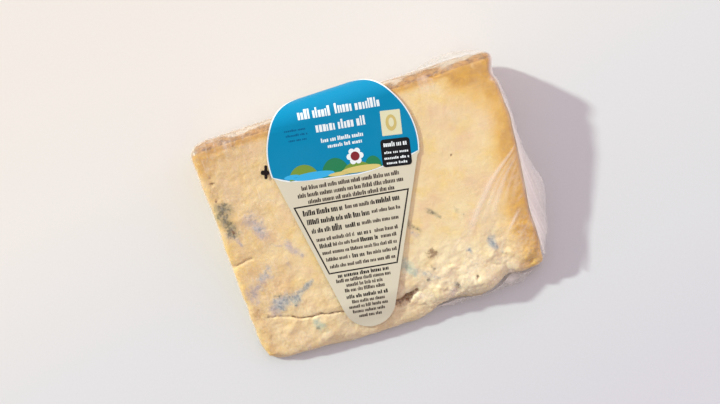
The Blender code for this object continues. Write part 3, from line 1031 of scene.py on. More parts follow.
# Loose folds of the wrap, on the part's own course with finer pleats: each runs along an edge
# and reaches out. A wrinkle is drawn out by its stretch: along, slanting, across
endFold = {
    "y": (36.0, -42.5),
    "reach": 65.2,
    "belly": (-14.0, 12.0, 4.2),
    "hang": 2.2,
    "droop": 2.6,
    "pleat": 0.06,
    "taper": (0.25, 0.85),
    "wave": (0.9, 2.0, 0.23),
    "wrinkleStretch": (0.55, 0.1, 0.04),
    "wrinkleSeed": 41,
    "wrinkleHeight": 0.3,
    "cells": (150, 26),
}
frontFold = {
    "x": (6.0, 57.0),
    "reach": -52.0,
    "top": 5.4,
    "low": 1.0,
    "stand": 0.4,
    "pleat": 0.25,
    "taper": (0.22, 0.8),
    "wave": (1.1, 1.5, 0.31),
    "wrinkleStretch": (0.12, 0.2, 0.35),
    "wrinkleSeed": 43,
    "wrinkleHeight": 0.15,
    "cells": (110, 20),
    # painted highlights, where the hem gathers and catches the light: x, y, half width
    "paintedGlints": ((44.4, -49.0, 1.6), (19.3, -49.0, 1.4), (12.9, -51.6, 2.0)),
    "glowStretch": 1.8,
    "glowHaze": 0.75,
}
rindFold = {
    "x": (30.0, 60.5),
    "z": (26.0, 9.0),
    "stand": 2.9,
    "pleat": 0.12,
    "wave": (1.3, 0.0, 1.0),
    "belly": (0.1, 0.95),
    "wrinkleStretch": (0.35, 0.0, 0.1),
    "wrinkleSeed": 44,
    "wrinkleHeight": 0.12,
    "cells": (70, 30),
}
filmGap = 0.5
foldRoot = 2.5
foldThickness = 0.12


def creaseField(x, y):
    field = np.zeros_like(x)
    apex = filmLook["fanPoint"]
    away = np.hypot(x - apex[0], y - apex[1])
    angle = np.degrees(np.arctan2(y - apex[1], x - apex[0]))
    angle = angle - filmLook["fanTurn"] * hump(0, filmLook["fanTurnReach"], away)
    for middle, halfWidth, strength in filmLook["fan"]:
        reach = mix(*filmLook["fanReach"], ramp(*filmLook["fanReachAngle"], middle))
        fade = ramp(*filmLook["fanStart"], away) * ramp(reach, reach - filmLook["fanFade"], away)
        field = np.maximum(field, strength * fade * hump(middle, halfWidth, angle))
    for start, end, halfWidth, strength in filmLook["creases"]:
        off, share = lineField(x, y, start, end)
        taper = np.sin(np.pi * mix(*filmLook["creaseEnds"], share))
        field = np.maximum(field, strength * hump(0, halfWidth, off) * taper)
    return field


def ridgeLines(waves, sharpness):
    # 1 along the lines where the noise crosses zero
    return 1 - np.minimum(1, np.abs(waves) * sharpness)


def wrapWaves(x, y, z, normals):
    # the film's waves, creases, gathers and crinkles
    look = filmLook
    top = ramp(0.5, 0.9, normals[:, 2])
    wave = noiseField(x, y, z, 3.2, 5)
    wander = 1.1 * noiseField(x, y, z, 9.0, 21)
    gather = np.maximum.reduce([
        ramp(startX, fullX, x) * ramp(startY, fullY, y)
        for startX, fullX, startY, fullY in look["gathers"]
    ])
    ridges = ridgeLines(mix(wave, noiseField(x, y, z, 1.9, 9), gather), 5)
    upright = noiseField(x * 0.8, y * 0.16, z * 0.16, 1.0, 8)
    return {
        "top": top,
        "wave": wave,
        "slowWave": noiseField(x, y, z, 11.0, 6),
        "wander": wander,
        "crease": creaseField(x + wander, y + 0.6 * wander) * top,
        "gather": gather,
        "crinkle": ridges * (0.1 + 0.55 * gather + 0.3 * ramp(-30, -60, x)),
        "pulls": ramp(0.6, 1.0, ridgeLines(upright, 3)) * ramp(-34, -48, x),
    }


def wrapHaze(x, y, z, normals, waves):
    # how milky the film is on its creases and along the edges, with painted highlights and sheen
    # where it catches the light, and painted light along the end's shaded upper edge
    look = filmLook
    wave, slowWave, gather = waves["wave"], waves["slowWave"], waves["gather"]
    rindStrip = ramp(*look["rindStrip"], y - rindY(z)) * ramp(0, 4, z)
    rindHaze = mix(*look["rindHaze"], ramp(*look["rindHazeX"], x))
    # painted light in part: milky wrap over the end's shaded upper edge
    endStrip = ramp(-0.2, 0.8, normals[:, 0]) * ramp(*look["endStrip"], x - rightEnd(y))
    endStrip *= mix(look["endLowShare"], 1.0, ramp(*look["endLow"], z - topPlane(x, y)))
    leftStrip = ramp(*look["leftStrip"], x - leftEnd(y))
    rightStrip = ramp(*look["rightStrip"], rightEnd(y) - x) * ramp(*look["rightStripY"], y)
    veilX, veilY = look["veilPlace"]
    veilStart, veilFull, veilStrength = look["veil"]
    fromVeil = np.hypot((x - veilX) / look["veilStretch"], y - veilY)
    # painted sheen on the top at the right, with some milk where the wrap gathers
    veil = veilStrength * ramp(veilStart, veilFull, fromVeil) + 0.08 * gather * ramp(52, 42, x)
    wander = waves["wander"]
    haze = np.maximum.reduce([
        look["creaseHaze"] * waves["crease"],
        (look["crinkleHaze"] + look["gatherHaze"] * gather) * waves["crinkle"],
        veil * (0.7 + 0.6 * slowWave),
        look["pullHaze"] * waves["pulls"],
        rindHaze * rindStrip * ramp(20, 8, z) * (0.6 + 0.5 * wave),
        endStrip * (1.0 + 0.3 * wave),
        leftStrip * look["leftHaze"],
        rightStrip * (0.7 + 0.4 * slowWave),
        # painted highlights
        spotField(x + wander, y + wander, look["paintedGlints"]),
    ])
    return np.clip(haze * (0.85 + 0.5 * slowWave), 0, 1)


def makeFilm():
    look = filmLook
    smoothFirst, smoothLast = look["smoothing"]
    piece = copyOfNode("cheese", "film_wrap")
    applyModifier(piece, "REMESH", mode="VOXEL", voxel_size=look["voxel"] * mm)
    applyModifier(piece, "SMOOTH", factor=0.5, iterations=smoothFirst)
    applyModifier(
        piece,
        "SHRINKWRAP",
        target=cheese,
        wrap_mode="OUTSIDE_SURFACE",
        offset=look["lift"] * mm,
    )
    applyModifier(piece, "SMOOTH", factor=0.5, iterations=smoothLast)
    places, normals = placesOf(piece), normalsOf(piece)
    x, y, z = places.T
    waves = wrapWaves(x, y, z, normals)
    lift = look["sideLift"] * (1 - waves["top"]) * (0.7 + 0.6 * waves["wave"]) * ramp(0.2, 1.5, z)
    lift += look["fanHeight"] * waves["crease"]
    lift += look["crinkleLift"] * waves["crinkle"] * ramp(1, 3, z)
    setPlaces(piece, places + normals * lift[:, None])
    addAttribute(piece, "haze", wrapHaze(x, y, z, normals, waves))
    flattenUnderside(piece, 0.0)
    shadeSmooth(piece)
    return piece


def pleatWave(wave, place):
    rate, unevenness, slowRate = wave
    return np.sin(rate * place + unevenness * np.sin(slowRate * place))


def tapered(taper, run):
    return ramp(0, taper[0], run) * (1 - ramp(taper[1], 1, run))


def foldWrinkle(fold, along, across):
    first, slant, second = fold["wrinkleStretch"]
    level = np.zeros_like(along)
    drawn = along * first + across * slant
    return noiseField(drawn, across * second, level, 1.0, fold["wrinkleSeed"])


def streaks(wrinkle):
    return ramp(0.3, 1.0, ridgeLines(wrinkle, 3.0))


def noseFaceY(x, z):
    share = np.minimum(1.0, z / noseHeight(x))
    return mix(noseFoot(x), noseRidge(x), share) - frontBulge(x, share)


def endFoldPlaces(run, down):
    # a nearly level fin under the upper edge, past the drum's flat end
    fold = endFold
    y = mix(*fold["y"], run)
    body = tapered(fold["taper"], run)
    close = rightEnd(y) - filmGap
    pleat = fold["pleat"] * (pleatWave(fold["wave"], y) - 1)
    out = fold["reach"] + humpsAt((fold["belly"],), y) + pleat
    narrow = close + foldRoot / 2
    x = mix(close, mix(narrow, np.maximum(out, narrow), body), down)
    high = topPlane(wedge["rightAtNose"], y) - fold["hang"] * ramp(-0.15, 0.45, down)
    z = high - fold["droop"] * body * down**2
    # thin wrinkles that run along the fin's outer edge
    wrinkle = foldWrinkle(fold, x, y)
    z += fold["wrinkleHeight"] * wrinkle * ramp(0.05, 0.3, down) * body
    haze = 0.1 + 0.45 * ramp(1.05, 0.4, down) + 0.2 * streaks(wrinkle)
    haze += 0.3 * hump(0.1, 0.25, down)
    haze *= mix(0.4, 1.0, body)
    return x, y, z, haze


def frontFoldPlaces(run, down):
    # the gathered hem in front of the thin edge
    fold = frontFold
    x = mix(*fold["x"], run)
    body = tapered(fold["taper"], run)
    low = mix(fold["top"] - foldRoot, fold["low"], np.minimum(1.0, 2 * body))
    z = mix(fold["top"], low, down)
    close = noseFaceY(x, z) - filmGap - fold["stand"]
    pleat = fold["pleat"] * pleatWave(fold["wave"], x)
    out = np.minimum(close, fold["reach"] + pleat)
    y = mix(close, out, body * down**0.7)
    wrinkle = foldWrinkle(fold, x, y)
    z += fold["wrinkleHeight"] * wrinkle * ramp(0.0, 0.2, down) * ramp(1.0, 0.8, down)
    haze = 0.14 + 0.1 * streaks(wrinkle)
    # painted highlights where the hem catches the light
    for spotX, spotY, halfWidth in fold["paintedGlints"]:
        away = np.hypot((x - spotX) / fold["glowStretch"], y - spotY)
        haze += fold["glowHaze"] * hump(0, halfWidth, away)
    return x, y, z, haze


def rindFoldPlaces(run, down):
    # the tuft that stands off the rind at the right
    fold = rindFold
    x = mix(*fold["x"], run)
    body = np.sin(np.pi * run) ** 0.8
    low = mix(fold["z"][0] - foldRoot, fold["z"][1], body)
    z = mix(fold["z"][0], low, down)
    pleat = fold["pleat"] * pleatWave(fold["wave"], x)
    stand = body * (fold["stand"] * np.sin(np.pi * mix(*fold["belly"], down)) + pleat)
    wrinkle = foldWrinkle(fold, x, z)
    y = rindY(z) + filmGap + np.maximum(0.0, stand + fold["wrinkleHeight"] * wrinkle * body)
    haze = 0.02 + 0.03 * streaks(wrinkle)
    return x, y, z, haze


def makeFold(name, cells, placesAt):
    # a grid laid out along the fold, given a thin wall with closed edges
    bpy.ops.object.select_all(action="DESELECT")
    bpy.ops.mesh.primitive_grid_add(x_subdivisions=cells[0], y_subdivisions=cells[1], size=1)
    piece = bpy.context.view_layer.objects.active
    piece.name = name
    spots = placesOf(piece) * mm
    run = np.clip(spots[:, 0] + 0.5, 0.0, 1.0)
    down = np.clip(0.5 - spots[:, 1], 0.0, 1.0)
    x, y, z, haze = placesAt(run, down)
    setPlaces(piece, np.stack([x, y, z], axis=1))
    addAttribute(piece, "haze", np.clip(haze, 0, 1))
    applyModifier(piece, "SOLIDIFY", thickness=foldThickness * mm, offset=0.0, use_rim=True)
    pickOnly(piece)
    bpy.ops.object.mode_set(mode="EDIT")
    bpy.ops.mesh.select_all(action="SELECT")
    bpy.ops.mesh.normals_make_consistent(inside=False)
    bpy.ops.object.mode_set(mode="OBJECT")
    bpy.ops.object.shade_smooth()
    return piece


def filmMaterial():
    # clear where it lies flat, with a weak shine at a slant, and milky on its creases
    material, tree = newMaterial("clear_wrap_film")
    streaked = mappedPlace(tree, objectPlace(tree), "Scale", (0.7, 1.5, 0.5))
    wrinkle = noiseNode(tree, streaked, 110.0, detail=4.0, roughness=0.6, distortion=1.2)
    fold = mathNode(tree, "ABSOLUTE", minus(tree, wrinkle, 0.5))
    normal = bumpNode(tree, minus(tree, 0.5, fold), 0.5, 0.0012)
    facing = addNode(tree, "ShaderNodeLayerWeight", {"Blend": 0.4}).outputs["Facing"]
    shine = plus(tree, times(tree, facing, 0.1), 0.03)
    milk = plus(tree, times(tree, fieldNode(tree, "haze"), 0.6), 0.01)
    milk = plus(tree, milk, times(tree, easedRange(tree, fold, 0.03, 0.0), 0.04))
    milk = plus(tree, milk, easedRange(tree, facing, 0.5, 1.0, 0.0, 0.04))
    cover = plus(tree, milk, shine, clamp=True)
    shinePart = mathNode(tree, "DIVIDE", shine, cover, clamp=True)
    soft = addNode(tree, "ShaderNodeBsdfDiffuse", {"Color": (1.0, 0.93, 0.86, 1)}).outputs["BSDF"]
    gloss = addNode(
        tree, "ShaderNodeBsdfGlossy", {"Color": (1, 1, 1, 1), "Roughness": 0.36, "Normal": normal}
    ).outputs["BSDF"]
    surface = addNode(tree, "ShaderNodeMixShader", {0: shinePart, 1: soft, 2: gloss}).outputs[0]
    clear = addNode(
        tree, "ShaderNodeBsdfTransparent", {"Color": (0.99, 0.99, 0.985, 1)}
    ).outputs["BSDF"]
    film = addNode(tree, "ShaderNodeMixShader", {0: cover, 1: clear, 2: surface}).outputs[0]
    addNode(tree, "ShaderNodeOutputMaterial", {"Surface": film})
    return material


wrapFilm = filmMaterial()


def finishFilm(piece):
    piece.data.materials.append(wrapFilm)
    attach(piece, "root")


film = makeFilm()
finishFilm(film)
endFin = makeFold("film_end_fin", endFold["cells"], endFoldPlaces)
finishFilm(endFin)
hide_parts("film_end_fold")
frontHem = makeFold("film_front_hem", frontFold["cells"], frontFoldPlaces)
finishFilm(frontHem)
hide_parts("film_front_fold")
rindTuft = makeFold("film_rind_tuft", rindFold["cells"], rindFoldPlaces)
finishFilm(rindTuft)
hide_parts("film_rind_fold")
print("film:", len(film.data.polygons), "faces")

# Sticker: sizes in millimetres; a runs across it, b up it from where dome and tongue meet
sticker = {
    "base": (-8.9, 20.5),
    "turn": math.radians(8.6),
    "domeRadius": 32.1,
    "domeCentre": 5.8,
    "tongueHalfWidth": 30.7,
    "shoulderB": -0.6,
    "tipRadius": 11.6,
    "tipEnd": -70.4,
    "domeSteps": 96,
    "tipSteps": 40,
    "paper": 0.14,
    "lift": 0.6,
    "ink": 0.03,
    "border": 0.55,
    "bendStartY": 42.4,
    "bendRadius": 8.4,
    "nodFromY": -42.0,
    "nodRadius": 30.0,
    # cells of the sheet, small where it nods and where it bends: from, to, size
    "nodCells": (-70.0, -54.0, 0.75),
    "flatCells": (-54.0, 20.0, 4.0),
    "bendCells": (20.0, 38.0, 0.75),
    "acrossCells": (-32.0, 33.0, 2.0),
}


def onWrappedFace(x, y, lift):
    # a place on the top, which runs on over the rind's edge in a round bend
    startAngle = math.atan(topPlane(x, 40) - topPlane(x, 39))  # the top's slope towards the rind
    if y <= sticker["bendStartY"]:
        nod = max(0.0, sticker["nodFromY"] - y) ** 2 / (2 * sticker["nodRadius"])
        height = topPlane(x, y) + swell(x, y) - thinDrop(x, y) - nod
        return (x, y - lift * math.sin(startAngle), height + lift * math.cos(startAngle))
    radius = sticker["bendRadius"]
    past = (y - sticker["bendStartY"]) / math.cos(startAngle)
    turned = past / radius - startAngle
    startY = sticker["bendStartY"] + radius * math.sin(startAngle)
    startZ = topPlane(x, sticker["bendStartY"]) + swell(x, sticker["bendStartY"])
    bentY = startY + (radius + lift) * math.sin(turned)
    bentZ = startZ - radius * math.cos(startAngle) + (radius + lift) * math.cos(turned)
    return (x, bentY, bentZ)


def cutIntoCells(piece):
    # lines across a flat slab, close together where it will bend at both ends
    pickOnly(piece)
    bpy.ops.object.mode_set(mode="EDIT")
    level = [np.arange(*sticker[cells]) for cells in ("nodCells", "flatCells", "bendCells")]
    cuts = [((0, b), (0, 1)) for b in np.concatenate(level)]
    cuts += [((a, 0), (1, 0)) for a in np.arange(*sticker["acrossCells"])]
    for (a, b), (normalA, normalB) in cuts:
        bpy.ops.mesh.select_all(action="SELECT")
        bpy.ops.mesh.bisect(plane_co=(a * mm, b * mm, 0), plane_no=(normalA, normalB, 0))
    bpy.ops.object.mode_set(mode="OBJECT")


def foldOverWedge(piece):
    turn = sticker["turn"]
    places = placesOf(piece)
    for index, (a, b, height) in enumerate(places):
        x = sticker["base"][0] + a * math.cos(turn) + b * math.sin(turn)
        y = sticker["base"][1] - a * math.sin(turn) + b * math.cos(turn)
        places[index] = onWrappedFace(x, y, sticker["lift"] + height)
    setPlaces(piece, places)


def layerHeight(layer):
    return sticker["paper"] + layer * sticker["ink"]


def addOutline(corners, low, thick):
    # a flat slab with the given outline, from a disc whose corners are moved to it
    bpy.ops.object.select_all(action="DESELECT")
    bpy.ops.mesh.primitive_circle_add(vertices=len(corners), radius=mm, fill_type="NGON")
    piece = bpy.context.view_layer.objects.active
    for vert, (a, b) in zip(piece.data.vertices, corners):
        vert.co = (a * mm, b * mm, low * mm)
    bpy.ops.object.mode_set(mode="EDIT")
    bpy.ops.mesh.select_all(action="SELECT")
    bpy.ops.mesh.extrude_region_move(TRANSFORM_OT_translate={"value": (0, 0, thick * mm)})
    bpy.ops.mesh.select_all(action="SELECT")
    bpy.ops.mesh.normals_make_consistent(inside=False)
    bpy.ops.object.mode_set(mode="OBJECT")
    return piece


def arc(centre, radii, start, end, steps):
    corners = []
    for step in range(steps + 1):
        angle = math.radians(mix(start, end, step / steps))
        corners.append(
            (centre[0] + radii[0] * math.cos(angle), centre[1] + radii[1] * math.sin(angle))
        )
    return corners


def addShape(corners, layer):
    return addOutline(corners, layerHeight(layer), sticker["ink"])


def copyBar(model, a, b, width, tall, turn=0.0):
    # a copy of a unit bar, stretched and moved to its place
    bar = model.copy()
    bar.data = model.data.copy()
    bpy.context.scene.collection.objects.link(bar)
    cosine, sine = math.cos(math.radians(turn)), math.sin(math.radians(turn))
    for vert in bar.data.vertices:
        across, up = vert.co.x * width, vert.co.y * tall
        vert.co.x = a * mm + across * cosine - up * sine
        vert.co.y = b * mm + across * sine + up * cosine
    return bar


def unitBar(layer):
    half = 0.5
    return addShape([(-half, -half), (half, -half), (half, half), (-half, half)], layer)


def finishPrint(piece, material):
    piece.data.materials.clear()
    piece.data.materials.append(material)
    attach(piece, "root")


def printShapes(name, shapes, material):
    piece = joinPieces(shapes, name)
    cutIntoCells(piece)
    foldOverWedge(piece)
    finishPrint(piece, material)
    return piece


def paperGroup():
    group, given, out = newGroup(
        "paperGrain",
        [("Colour", "NodeSocketColor", None), ("Wear", "NodeSocketFloat", 0.1)],
        [("Colour", "NodeSocketColor"), ("Normal", "NodeSocketVector")],
    )
    place = objectPlace(group)
    soft = noiseNode(group, place, 45.0, detail=2.0)
    fibre = noiseNode(group, place, 1400.0, detail=3.0)
    tooth = noiseNode(group, place, 3200.0, detail=2.0)
    share = times(group, easedRange(group, soft, 0.3, 0.75), given.outputs["Wear"])
    share = times(group, share, easedRange(group, tooth, 0.35, 0.65, 0.6, 1.0), clamp=True)
    worn = mixColour(group, 0.25, given.outputs["Colour"], (0.85, 0.84, 0.8, 1))
    colour = mixColour(group, share, given.outputs["Colour"], worn)
    group.links.new(colour, out.inputs["Colour"])
    group.links.new(bumpNode(group, fibre, 0.12, 0.0002), out.inputs["Normal"])
    return group


paperGrain = paperGroup()


def paperMaterial(name, colour, wear=0.06, roughness=0.42):
    material, tree = newMaterial(name)
    grain = addNode(tree, "ShaderNodeGroup", node_tree=paperGrain)
    grain.inputs["Colour"].default_value = colour
    grain.inputs["Wear"].default_value = wear
    finishSurface(tree, {
        "Base Color": grain.outputs["Colour"],
        "Normal": grain.outputs["Normal"],
        "Roughness": roughness,
        "Specular IOR Level": 0.1,
    })
    return material


paperLook = {
    "cream": srgb(216, 208, 184),
    "white": srgb(236, 242, 242),
    "panel": srgb(224, 220, 184),
    "oval": srgb(206, 186, 116),
    "blue": srgb(0, 134, 177),
    "deepBlue": srgb(4, 96, 140),
    "lightBlue": srgb(60, 176, 228),
    "green": srgb(44, 128, 84),
    "leaf": srgb(120, 150, 60),
    "yellow": srgb(216, 198, 122),
    "red": srgb(132, 44, 52),
    "black": srgb(28, 28, 30),
    "ink": srgb(40, 34, 32),
    "greyInk": srgb(78, 68, 60),
    "markInk": srgb(34, 28, 26),
}


def stickerOutline():
    # the dome, then straight edges down to the round tip
    dome = sticker["domeRadius"]
    shoulder = sticker["tongueHalfWidth"]
    startAngle = -math.degrees(math.asin(sticker["domeCentre"] / dome))
    domeCentre = (0, sticker["domeCentre"])
    endAngle = 180 - startAngle
    corners = arc(domeCentre, (dome, dome), startAngle, endAngle, sticker["domeSteps"])
    tip = sticker["tipRadius"]
    tipCentre = (0, sticker["tipEnd"] + tip)
    lean = math.degrees(math.asin((shoulder - tip) / math.hypot(shoulder, tipCentre[1])))
    corners.append((-shoulder, sticker["shoulderB"]))
    corners += arc(tipCentre, (tip, tip), 180 + lean, 360 - lean, sticker["tipSteps"])
    corners.append((shoulder, sticker["shoulderB"]))
    return corners


def makeStickerPaper():
    piece = addOutline(stickerOutline(), 0.0, sticker["paper"])
    piece.name = "sticker_paper"
    cutIntoCells(piece)
    foldOverWedge(piece)
    return piece


stickerPaper = makeStickerPaper()
finishPrint(stickerPaper, paperMaterial("sticker_cream", paperLook["cream"], 0.12, 0.5))
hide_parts("label")
print("sticker:", len(stickerPaper.data.polygons), "faces")


# Print on the sticker: fields of colour, plain shapes and bars of no meaning
fieldEdge = (
    # lower edge of the blue field, from the right
    (30.6, 1.0), (28.4, 0.0), (22.0, -1.5), (16.0, -2.8), (10.0, -3.9), (4.7, -4.4), (-3.0, -4.1),
    (-10.0, -3.9), (-18.0, -3.4), (-24.7, -2.7), (-28.0, -1.6), (-30.6, -0.2),
)


def fieldOutline(inset):
    radius = sticker["domeRadius"] - inset
    startAngle = math.degrees(math.asin((fieldEdge[0][1] - sticker["domeCentre"]) / radius))
    endAngle = 180 - math.degrees(math.asin((fieldEdge[-1][1] - sticker["domeCentre"]) / radius))
    corners = arc((0, sticker["domeCentre"]), (radius, radius), startAngle, endAngle, 90)
    drop = sticker["border"] - inset
    lower = [(a * radius / sticker["domeRadius"], b - drop) for a, b in reversed(fieldEdge[1:-1])]
    return corners + lower


printShapes(
    "print_white_field",
    [addShape(fieldOutline(0.04), 0)],
    paperMaterial("print_white", paperLook["white"], 0.0),
)
printShapes(
    "print_blue_field",
    [addShape(fieldOutline(sticker["border"]), 1)],
    paperMaterial("print_blue", paperLook["blue"], 0.04, 0.35),
)

# plain mounds, ovals and one flower, low in the field: centre, radii, arc
motifs = {
    "green": (((-4.5, -3.9), (6.0, 7.6), 0, 180), ((11.6, -3.0), (3.6, 5.0), 0, 180)),
    "leaf": (((-18.0, -3.0), (6.2, 6.0), 0, 180), ((4.5, -3.9), (6.2, 4.6), 0, 180)),
    "lightBlue": (((-14.0, -2.2), (9.0, 1.6), -180, 180), ((-23.0, -1.4), (3.4, 1.0), -180, 180)),
    "yellow": (((6.2, -2.6), (8.4, 1.4), -180, 180), ((-3.0, -3.2), (4.8, 0.8), -180, 180)),
}


flower = {"place": (4.6, 3.0), "petals": 6, "petalsOut": 2.3, "petal": 1.3, "heart": 1.9}


def ringOf(place, radii, corners):
    # the corners of an oval, the first one at its right
    return arc(place, radii, 0, 360 * (corners - 1) / corners, corners - 1)


def makeMotifs():
    for layer, (tint, blobs) in enumerate(motifs.items()):
        shapes = [
            addShape(arc(centre, radii, start, end, 28), 2 + layer * 0.25)
            for centre, radii, start, end in blobs
        ]
        printShapes("print_" + tint, shapes, paperMaterial("print_" + tint, paperLook[tint], 0.03))
    out, petal, middle = flower["petalsOut"], flower["petal"], flower["heart"]
    petals = [
        addShape(ringOf(spot, (petal, petal), 24), 3)
        for spot in ringOf(flower["place"], (out, out), flower["petals"])
    ]
    printShapes("print_petals", petals, bpy.data.materials["print_white"])
    heart = addShape(ringOf(flower["place"], (middle, middle), 24), 4)
    printShapes("print_flower_heart", [heart], paperMaterial("print_red", paperLook["red"], 0.02))


makeMotifs()

panels = {
    "turn": -3.0,
    "creamPlace": (21.8, 14.2),
    "creamSize": (8.4, 10.4),
    "creamCorner": 0.3,
    "oval": (2.3, 3.4),
    "ovalCore": (1.1, 1.9),
    "ovalCoreShift": (0.1, 0.2),
    "darkPlace": (21.9, 1.7),
    "darkSize": (12.4, 11.6),
    "darkCorner": 1.4,
}


def turned(corners, place, turn):
    cosine, sine = math.cos(math.radians(turn)), math.sin(math.radians(turn))
    placeA, placeB = place
    return [(placeA + a * cosine - b * sine, placeB + a * sine + b * cosine) for a, b in corners]


def roundedBox(width, tall, corner):
    corners = []
    for sideA, sideB, start in ((1, 1, 0), (-1, 1, 90), (-1, -1, 180), (1, -1, 270)):
        centre = (sideA * (width / 2 - corner), sideB * (tall / 2 - corner))
        corners += arc(centre, (corner, corner), start, start + 90, 6)
    return corners


def makePanels():
    turn, creamPlace = panels["turn"], panels["creamPlace"]
    cream = roundedBox(*panels["creamSize"], panels["creamCorner"])
    printShapes(
        "print_cream_panel",
        [addShape(turned(cream, creamPlace, turn), 2)],
        paperMaterial("print_cream", paperLook["panel"], 0.03),
    )
    oval = addShape(turned(ringOf((0, 0), panels["oval"], 36), creamPlace, turn), 3)
    printShapes("print_tan_oval", [oval], paperMaterial("print_tan", paperLook["oval"], 0.03))
    coreRing = ringOf(panels["ovalCoreShift"], panels["ovalCore"], 36)
    core = addShape(turned(coreRing, creamPlace, turn), 4)
    printShapes("print_oval_core", [core], bpy.data.materials["print_cream"])
    dark = roundedBox(*panels["darkSize"], panels["darkCorner"])
    printShapes(
        "print_dark_panel",
        [addShape(turned(dark, panels["darkPlace"], turn), 2.5)],
        paperMaterial("print_black", paperLook["black"], 0.02),
    )


makePanels()


# Bars where the printed lines run: height b, left end, right end, bar height
barRows = {
    "title": ((23.3, -16.3, -2.7, 3.9), (23.7, -0.6, 18.7, 3.9), (17.2, -9.7, 11.8, 3.9)),
    "titleSmall": ((11.6, -8.4, 10.3, 1.7), (8.9, -6.0, 8.7, 1.5)),
    "faint": ((17.8, -22.9, -13.6, 0.9), (15.7, -22.6, -13.2, 0.9), (13.6, -21.8, -14.0, 0.9)),
    "bold": (
        (-17.3, -21.3, -4.2, 2.4), (-17.1, 10.0, 21.0, 2.3), (-21.3, -20.2, 6.8, 2.3),
        (-25.3, -18.9, -10.6, 2.1), (-25.1, -10.2, -5.6, 3.0), (-25.3, -4.5, 2.1, 2.0),
        (-29.3, 0.0, 6.3, 1.9), (-32.2, -16.8, -11.6, 1.9), (-32.2, 0.8, 8.7, 1.9),
        (-38.4, -3.7, 1.8, 1.9),
        (-46.1, -11.3, 10.8, 1.7), (-55.8, -9.2, 9.0, 1.7),
    ),
    "thin": (
        (-17.3, -3.2, 9.2, 1.85), (-21.1, 7.6, 20.0, 1.6), (-25.2, 2.7, 18.7, 1.7),
        (-29.3, -17.6, -1.1, 1.7), (-29.3, 7.4, 17.6, 1.7), (-32.2, -11.0, 0.0, 1.6),
        (-32.2, 9.7, 16.8, 1.6), (-35.3, -16.1, 16.3, 1.6), (-38.4, -15.0, -4.7, 1.6),
        (-38.4, 2.6, 15.3, 1.6), (-41.6, -13.9, 14.2, 1.6),
        (-48.3, -12.4, 11.3, 1.6), (-50.6, -8.4, 7.4, 1.6), (-52.9, -9.4, 8.6, 1.6),
        (-58.2, -7.2, 7.4, 1.45), (-60.4, -8.8, 8.6, 1.45), (-62.6, -7.6, 7.2, 1.45),
        (-64.8, -5.2, 5.0, 1.45),
    ),
    "grey": ((-6.7, -20.0, 21.6, 1.9), (-9.7, -22.1, 23.2, 1.9), (-12.6, -18.2, 19.0, 1.9)),
    "panel": (
        (3.7, -5.0, 5.2, 2.1), (0.3, -5.0, 5.0, 1.1), (-2.1, -5.2, 5.0, 1.1),
        (-4.2, -4.4, 4.6, 1.0),
    ),
}
# In strokes: how wide a bar and the gap after it are, and what a wider gap adds. Bars are as high
# as one of the shares says, and stand in groups of so many
barLook = {
    "width": (0.55, 1.1),
    "gap": (0.22, 0.4),
    "widerGap": 0.8,
    "heights": (0.68, 0.72, 0.75, 1.0),
    "group": (3, 8),
}


def makeBars(name, rows, layer, stroke, seed, material, place=(0, 0), turn=0.0):
    # uneven upright strokes in groups, as dense as print but with nothing to read
    draw = random.Random(seed)
    model = unitBar(layer)
    bars = []
    for b, left, right, tall in rows:
        a = left
        untilGap = draw.randint(*barLook["group"])
        while a < right - stroke / 2:
            width = stroke * draw.uniform(*barLook["width"])
            height = tall * draw.choice(barLook["heights"])
            middle = (a + width / 2, b + (height - tall) / 2)
            spot = turned([middle], place, turn)[0]
            bars.append(copyBar(model, spot[0], spot[1], width, height, turn))
            a += width + stroke * draw.uniform(*barLook["gap"])
            untilGap -= 1
            if untilGap == 0:
                a += stroke * barLook["widerGap"]
                untilGap = draw.randint(*barLook["group"])
    bpy.data.objects.remove(model, do_unlink=True)
    return printShapes(name, bars, material)


whiteInk = bpy.data.materials["print_white"]
darkInk = paperMaterial("print_ink", paperLook["ink"], 0.05)
greyInk = paperMaterial("print_grey_ink", paperLook["greyInk"], 0.05)
deepBlueInk = paperMaterial("print_deep_blue", paperLook["deepBlue"], 0.02)
# piece, rows, layer, stroke, seed, ink
for name, rows, layer, stroke, seed, ink in (
    ("print_title_bars", "title", 2, 1.15, 3, whiteInk),
    ("print_small_title_bars", "titleSmall", 2, 0.75, 4, whiteInk),
    ("print_faint_bars", "faint", 2, 0.6, 5, deepBlueInk),
    ("print_bold_bars", "bold", 0, 0.68, 6, darkInk),
    ("print_thin_bars", "thin", 0, 0.56, 7, greyInk),
    ("print_grey_bars", "grey", 0, 0.6, 8, greyInk),
):
    makeBars(name, barRows[rows], layer, stroke, seed, ink)
makeBars(
    "print_panel_bars", barRows["panel"], 3.5, 0.7, 9, whiteInk, panels["darkPlace"], panels["turn"]
)


# The frame round the small print: a dark ring with sloping sides
frameLine = {"top": -14.1, "bottom": -44.8, "halfTop": 24.8, "halfBottom": 14.9, "width": 0.6}


def makeFrame():
    line = frameLine
    slope = (line["halfTop"] - line["halfBottom"]) / (line["top"] - line["bottom"])
    sideWidth = line["width"] * math.hypot(1, slope)
    sides = []
    for hand in (-1, 1):
        outer = [(hand * line["halfTop"], line["top"]), (hand * line["halfBottom"], line["bottom"])]
        inner = [(a - hand * sideWidth, b) for a, b in reversed(outer)]
        sides.append(addShape(outer + inner, 0))
    for lower, half in (
        (line["top"] - line["width"], line["halfTop"]),
        (line["bottom"], line["halfBottom"]),
    ):
        reach = half - sideWidth
        upper = lower + line["width"]
        rail = [(-reach, lower), (reach, lower), (reach, upper), (-reach, upper)]
        sides.append(addShape(rail, 0))
    printShapes("print_frame_line", sides, darkInk)


makeFrame()

